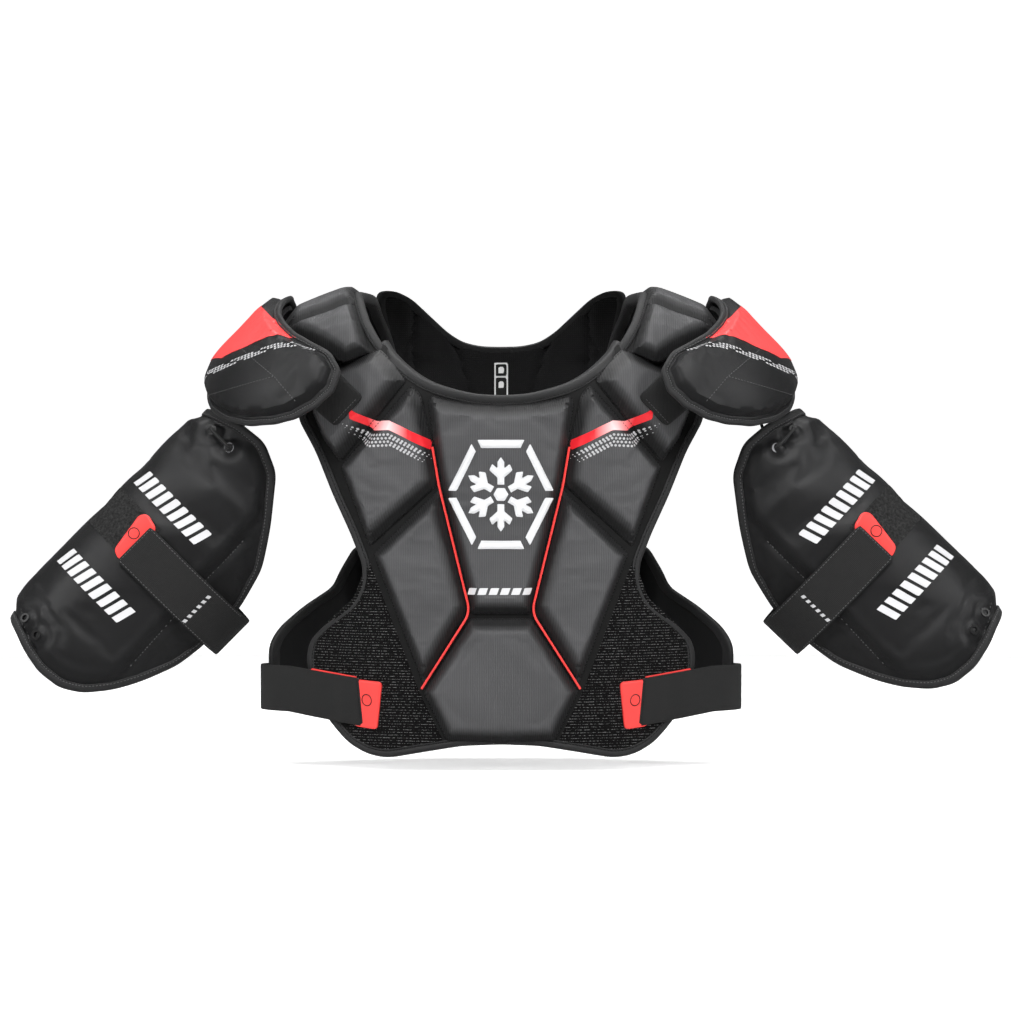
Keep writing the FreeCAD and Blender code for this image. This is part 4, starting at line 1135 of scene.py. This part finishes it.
def build_caps():
    edge = anticlockwise(softened(cap_loop(), 6))
    extra = cloth_relief(edge, cap_form("left"), cap_rise, 4.5, 9.0, 1.6)

    def cap_top(u, v, depth):
        return cap_rise(u, v, depth) + extra(u, v)

    def surface(u, v):
        return cap_top(u, v, path_distance(pairs(u, v), edge))
    red = cap_band()
    for side, sign in SIDES.items():
        body, form = side + "_cap", cap_form(side)
        rings = (2, 5, 8.5, 12, 15.5)
        cover = patch(side + "_cap_shell", edge, form, cap_top, level(-5.0), SHELL, 3.2, rings, 45)
        finish_piece(cover, body, [side + "_cap_cover"])
        inner = resampled(edge, 3)
        inner = inner + inward(inner) * 4
        liner = patch(side + "_cap_lining", inner, form, level(-8.1), level(-12.1), LINING, 6, (2,))
        finish_piece(liner, body, [side + "_cap_liner"])
        add_binding(side + "_cap_binding", edge, form, body, -5.6, 0.2, look=DARK_TAPE, thread=SHELL_THREAD)
        film = patch(side + "_cap_red_band", red, form, lambda u, v, d: surface(u, v) + 0.35,
                     lambda u, v, d: surface(u, v) - 0.5, RED_FILM, 2.6, (0.8,))
        finish_piece(film, body)
        rows = [(resampled(on_cap_map(np.linspace(CAP_SEAM_CENTRE, end, 9)), 1.5, False), False)
                for end in CAP_SEAM_ENDS]
        seam = stitches(side + "_cap_stitches", rows, form, lambda u, v: surface(u, v) + 0.15, SHELL_THREAD,
                        3.2, 2.0, 0.34)
        finish_piece(seam, body)
        marks = prints(side + "_cap_dashes", cap_dashes(), form, surface, WHITE_PRINT, 0.5, 3)
        finish_piece(marks, body)
        build_cap_strap(side, sign)


def cap_dashes():
    """A broken strip of small slanted dashes under the red band."""
    line = np.array(on_cap_map(resampled(CAP_DASH_LINE, 3.1, False)))
    shapes = []
    for row in range(3):
        for i, (u, v) in enumerate(line[:-1]):
            if (i + 2 * row) % 9 > 6 or i < row:
                continue
            run = line[i + 1] - line[i]
            out = np.array([-run[1], run[0]]) / np.linalg.norm(run)
            corner = np.array([u, v]) + out * (2.2 * row - 1.5)
            shapes.append([tuple(corner), tuple(corner + run * 0.55), tuple(corner + run * 0.8 + out * 1.3),
                           tuple(corner + run * 0.25 + out * 1.3)])
    return shapes


def build_cap_strap(side, sign):
    """The short strap that ties the cap down to the collar block."""
    loop = anticlockwise(softened(turned(CAP_STRAP, sign), 4))
    strap = patch(side + "_cap_strap_web", loop, CHEST, pillow(17.6, 18.3, 1.5), level(15.7), ELASTIC, 3)
    hem = resampled(turned([(-127.5, -79.5), (-148, -101.5)], sign), 1.5, False)
    seam = stitches(side + "_cap_strap_stitches", [(hem, False)], CHEST, 18.5, SHELL_THREAD, 3, 2, 0.3)
    finish_piece(strap, side + "_cap_strap", [side + "_cap_strap"])
    finish_piece(seam, side + "_cap_strap")


# ------------------------------------------------------------------ upper arm guards
def on_girth(points):
    """Front-view points (x, z) of a guard, laid out round its tube."""
    return [(girth_at(x), z) for x, z in points]


def guard_loop():
    """The outline of a guard laid flat, from its front half and its rear half."""
    return on_girth(GUARD_FRONT) + [(girth_at(x, True), z) for x, z in GUARD_BACK]


def guard_rise(seam_path, end_line):
    """The lift of a guard's cover: a padded front that sinks at its seams and round its eyelets."""
    lace_run = np.array(on_girth(UPPER_EYELETS))
    seam_at = seam_path[::-1]

    def rise(u, v, depth):
        flat = pairs(u, v)
        edge_ramp = np.clip((depth - 7) / 13, 0, 1)
        from_seam = np.interp(v, seam_at[:, 1], seam_at[:, 0]) - u
        seam_ramp = np.where(u > 0, np.clip((from_seam - 2) / 14, 0, 1), 1)
        padding = 5.0 * np.minimum(eased(edge_ramp), eased(seam_ramp))
        slack = 0.5 * np.sin(v / 9.0 + 2.2 * np.sin(u / 31.0)) * np.exp(-((v + 60) / 70) ** 2) * edge_ramp
        height = -4.1 + padding + slack + 1.2 * (1 - np.exp(-depth / 40))
        height = height - 2.2 * np.exp(-(path_distance(flat, seam_path, False) / 2.4) ** 2)
        height = height - 1.3 * np.exp(-(path_distance(flat, end_line, False) / 2.0) ** 2)
        height = height - 4.6 * np.exp(-(path_distance(flat, lace_run, False) / 7) ** 2)
        for x, z in on_girth(EYELETS):
            reach = np.hypot(u - x, v - z)
            seat = np.exp(-(reach / 6.5) ** 4)
            height = height * (1 - seat) + 2.3 * seat - 1.8 * np.exp(-((reach - 10) / 3.5) ** 2)
        return height
    return rise


def build_guards():
    edge = anticlockwise(softened(guard_loop(), 8))
    seam_path = resampled(on_girth(GUARD_SEAM), 3, False)
    end_line = resampled(on_girth(GUARD_END_LINE), 3, False)
    rise = guard_rise(seam_path, end_line)
    pins = [(u, v, 15.0) for u, v in on_girth(EYELETS + [LACE_MIDDLE])]
    pins += [(u, v, 3.5) for u, v in seam_path]
    extra = cloth_relief(edge, guard_form("left"), rise, 4.5, 7.0, 1.6, pins=pins)

    def guard_top(u, v, depth):
        return rise(u, v, depth) + extra(u, v)

    def surface(u, v):
        return guard_top(u, v, path_distance(pairs(u, v), edge))
    for side in SIDES:
        body, form = side + "_guard", guard_form(side)
        cover = patch(side + "_guard_shell", edge, form, guard_top, level(-7.0), SHELL, 3.4, (2, 5, 9), 45)
        finish_piece(cover, body, [side + "_guard_cover"])
        inner = resampled(edge, 4)
        inner = inner + inward(inner) * 14
        liner = patch(side + "_guard_lining", inner, form, level(-9.1), level(-15.1), LINING, 6, (2,))
        finish_piece(liner, body, [side + "_guard_liner"])
        add_binding(side + "_guard_binding", edge, form, body, -7.4, -2.2, width=7.5, look=DARK_TAPE,
                    thread=SHELL_THREAD)
        rows = [(seam_path, False), (end_line, False)]
        line = stitches(side + "_guard_seams", rows, form, lambda u, v: surface(u, v) + 0.2, SHELL_THREAD,
                        3.2, 2.1, 0.5)
        finish_piece(line, body)
        add_loop_patch(side, body, form, surface)
        add_arm_strap(side, body, form)
        bars = slanted_bars(-20, 52, -91, -73) + slanted_bars(-20, 52, -190, -171)
        marks = prints(side + "_guard_bars", bars, form, surface, WHITE_PRINT, 0.45, 2)
        finish_piece(marks, body)


def slanted_bars(first, last, low, high):
    """A row of slanted bars between two places round the arm, as plain decoration."""
    width, gap, slant = 6.5, 3.2, 5
    shapes = []
    at = girth_at(first)
    while at < girth_at(last):
        shapes.append([(at, low), (at + width, low), (at + width + slant, high), (at + slant, high)])
        at += width + gap
    return shapes


def strap_rise(along):
    """A strap end lifts a little where it lies on its tab."""
    return 3.0 * np.exp(-np.maximum(along, 0) / 18)


def add_loop_patch(side, body, form, surface):
    """The square of fuzzy loops that the arm strap sticks to."""
    low, high = STRAP_LOW + 5, STRAP_HIGH + 5
    corners = on_girth([(-25, low), (25, low), (25, high), (-25, high)])
    pile = patch(side + "_loop_patch_pile", anticlockwise(softened(corners, 2)), form,
                 lambda u, v, d: surface(u, v) + 0.9 + 0 * d, lambda u, v, d: surface(u, v) - 1.0, FUZZ, 3)
    finish_piece(pile, body, [side + "_loop_patch"])


def add_arm_strap(side, body, form):
    """The elastic strap that runs from its tab on the front, round the arm, to its sewn end behind."""
    outer, inner = girth_at(19), GIRTH[-1] - girth_at(22)
    corners = [(outer, STRAP_LOW), (inner, STRAP_LOW), (inner, STRAP_HIGH), (outer, STRAP_HIGH)]
    face = pillow(4.6, 5.3, 1.2)
    strap = patch(side + "_arm_strap_web", anticlockwise(softened(corners, 2)), form,
                  lambda u, v, d: face(u, v, d) + strap_rise(u - outer),
                  lambda u, v, d: 2.4 + strap_rise(u - outer) + 0 * d, ELASTIC, 4)
    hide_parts(side + "_arm_strap", side + "_arm_strap_sewn_end")
    hinge = girth_at(ARM_STRAP_HINGE_X)
    start, end = (form(np.array([s]), np.array([-127.0]), 3.0)[0] * MM for s in (hinge + 9, hinge - 9))
    tuple(start)
    tuple(end)
    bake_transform(strap)
    tab_body = side + "_arm_strap"
    add_tab(side + "_arm", GUARD_TAB, form, (girth_at(12), -125), tab_body, [side + "_arm_strap_tab"], 3.1)
    low, high, end = STRAP_LOW + 1.6, STRAP_HIGH - 1.6, outer + 1.6
    runs = [np.array([(end, v), (hinge - 4, v)]) for v in (low, high)]
    runs.append(np.array([(end, low), (end, high)]))
    seam = stitches(side + "_arm_strap_stitches", [(run, False) for run in runs], form,
                    lambda u, v: 5.3 + strap_rise(u - outer), SHELL_THREAD, 3.0, 1.9, 0.34)
    finish_piece(seam, body)
    at = girth_at(93)
    dash = [(0, 0), (3.2, 1.2), (3.2, 4.4), (0, 3.2)]
    dashes = [[(at + u, -148 + 6.0 * k + v) for u, v in dash] for k in range(6)]
    small = prints(side + "_strap_dashes", dashes, form, 5.2, GREY_PRINT, 0.2, 3)
    finish_piece(small, body)


def add_tab(name, shape, form, at, body, replaces, lift):
    """A red moulded pull tab with a plain ring on its face."""
    outline = [(at[0] + u, at[1] + v) for u, v in shape]
    top = lift + 2.5
    tab = patch(name + "_tab", anticlockwise(softened(outline, 4)), form, pillow(lift + 1.6, top, 1.2),
                level(lift), RED, 1.8, (0.5, 1.2, 2.2), 50)
    finish_piece(tab, body, replaces)
    ring = anticlockwise(resampled(ring_of(32, 5, (at[0], at[1] + 3)), 1.2))
    mark = band(name + "_tab_ring", ring, form, ring_of(6, 0.5, (0, top)), TAB_MARK, True, 80)
    finish_piece(mark, body)


# ------------------------------------------------------------------ side straps
def build_side_straps():
    for side in SIDES:
        place, length = side_strap_form(side, 220.8)
        edge = [(25.5, -363.5), (length, -361), (length, -321), (30.5, -321)]
        loop = anticlockwise(softened(edge, 2))
        strap = patch(side + "_side_strap_web", loop, place, pillow(2.0, 2.5, 1.2), level(0.0), ELASTIC, 4)
        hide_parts(side + "_side_strap", "side_strap_sewn_ends")
        start, end = (place(np.array([s]), np.array([-338.0]), np.array([1.0]))[0] * MM
                      for s in (length - 34, length - 60))
        body = side + "_side_strap"
        tuple(start)
        tuple(end)
        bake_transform(strap)
        add_tab(side + "_side", SIDE_TAB, place, (22, -342.5), body, [side + "_side_strap_tab"], -0.4)
        piping = anticlockwise(resampled([(34, -322), (88, -322), (88, -319.6), (34, -319.9)], 2))
        line = patch(side + "_strap_piping", piping, place, level(0.9), level(0.1), RED, 2.4, ())
        finish_piece(line, body)
        end_row = np.array([(28.0, -362.0), (32.8, -322.5)])
        hem = stitches(side + "_strap_hem", [(end_row, False)], place, 2.5, THREAD, 2.6, 1.8, 0.35)
        finish_piece(hem, body)


# ------------------------------------------------------------------ small parts kept from the CAD model
def dress_cad_parts():
    """Gives the eyelets, laces and hangers their materials; only the inner upper eyelet is bright."""
    looks = {"_guard_eyelets": (METAL, BLACK_METAL), "_guard_lace": (CORD,), "_hanger": (ELASTIC,)}
    for name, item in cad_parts.items():
        for ending, materials in looks.items():
            if name.endswith(ending):
                item.data.materials.clear()
                for look in materials:
                    item.data.materials.append(look)
        if name.endswith("_guard_eyelets"):
            for face in item.data.polygons:
                face.material_index = int(face.center.z < -0.2 or abs(face.center.x) > 0.254)


# ------------------------------------------------------------------ studio
# these are in metres
FLOOR_Z = -0.412
DISC_RADIUS, FLAT_RADIUS, WALL_BEND, WALL_TOP = 2.4, 12.0, 2.0, 14.0
TURNS = 48


def add_studio_surface(name, profile, glow):
    """A round surface turned from a profile of (radius, height); it glows a little to stay white."""
    points = [(r * math.cos(t), r * math.sin(t), z) for r, z in profile
              for t in np.arange(TURNS) * 2 * math.pi / TURNS]
    faces = []
    for i in range(len(profile) - 1):
        low, high = i * TURNS, (i + 1) * TURNS
        faces += [(low + k, low + (k + 1) % TURNS, high + (k + 1) % TURNS, high + k) for k in range(TURNS)]
    mesh = bpy.data.meshes.new(name)
    mesh.from_pydata(points, [], faces)
    mesh.shade_smooth()
    item = bpy.data.objects.new(name, mesh)
    look = plain(name, (0.9, 0.9, 0.9), 0.9, Emission_Color=(1, 1, 1, 1), Emission_Strength=glow)
    item.data.materials.append(look)
    item.visible_glossy = False
    item.visible_diffuse = name == "studio_floor"
    bpy.context.scene.collection.objects.link(item)


def add_softbox(name, at, aim, width, height, power):
    light = bpy.data.lights.new(name, "AREA")
    light.shape = "RECTANGLE"
    light.size, light.size_y, light.energy = width, height, power
    item = bpy.data.objects.new(name, light)
    item.location = at
    item.rotation_euler = (Vector(aim) - Vector(at)).to_track_quat("-Z", "Y").to_euler()
    bpy.context.scene.collection.objects.link(item)


def build_studio():
    """A white disc under the pads, and a floor and wall round it, with soft light from four boxes.

    Neither surface is seen in reflections, and the wall sheds no light, so that black cloth stays black.
    """
    disc = [(radius, FLOOR_Z) for radius in (0.001, DISC_RADIUS / 2, DISC_RADIUS)]
    bend = [(FLAT_RADIUS + WALL_BEND * math.sin(a), FLOOR_Z + WALL_BEND * (1 - math.cos(a)))
            for a in np.linspace(0, math.pi / 2, 10)]
    wall = [disc[-1], (FLAT_RADIUS - 1, FLOOR_Z)] + bend + [(FLAT_RADIUS + WALL_BEND, WALL_TOP)]
    add_studio_surface("studio_floor", disc, 0.5)
    add_studio_surface("studio_wall", wall, 0.95)
    world = bpy.data.worlds.new("studio")
    world.use_nodes = True
    world.node_tree.nodes["Background"].inputs["Color"].default_value = (1, 1, 1, 1)
    world.node_tree.nodes["Background"].inputs["Strength"].default_value = 0.1
    bpy.context.scene.world = world
    add_softbox("front_box", (0.0, -2.6, 2.5), (0, 0, -0.2), 2.4, 1.1, 118)
    add_softbox("top_box", (0.0, 0.4, 1.8), (0, 0, -0.1), 2.4, 0.9, 45)
    for side, sign in SIDES.items():
        add_softbox(side + "_box", (-2.3 * sign, -1.2, 0.9), (0, 0, -0.2), 0.5, 1.5, 30)


def build_camera():
    """A little above the chest and far enough away for a nearly flat view."""
    distance, rise = 8.0, math.radians(1.5)
    sensor_width, view_width = 36, 0.9216
    target = Vector((9.9, -45.0, -182.0)) * MM
    camera = bpy.data.cameras.new("camera")
    camera.lens = sensor_width * distance / view_width
    item = bpy.data.objects.new("camera", camera)
    item.location = target + distance * Vector((0, -math.cos(rise), math.sin(rise)))
    item.rotation_euler = (target - item.location).to_track_quat("-Z", "Y").to_euler()
    scene = bpy.context.scene
    scene.collection.objects.link(item)
    scene.camera = item
    scene.view_settings.view_transform = "Standard"


build_front()
build_back()
build_yokes()
build_caps()
build_guards()
build_side_straps()
dress_cad_parts()
build_studio()
build_camera()
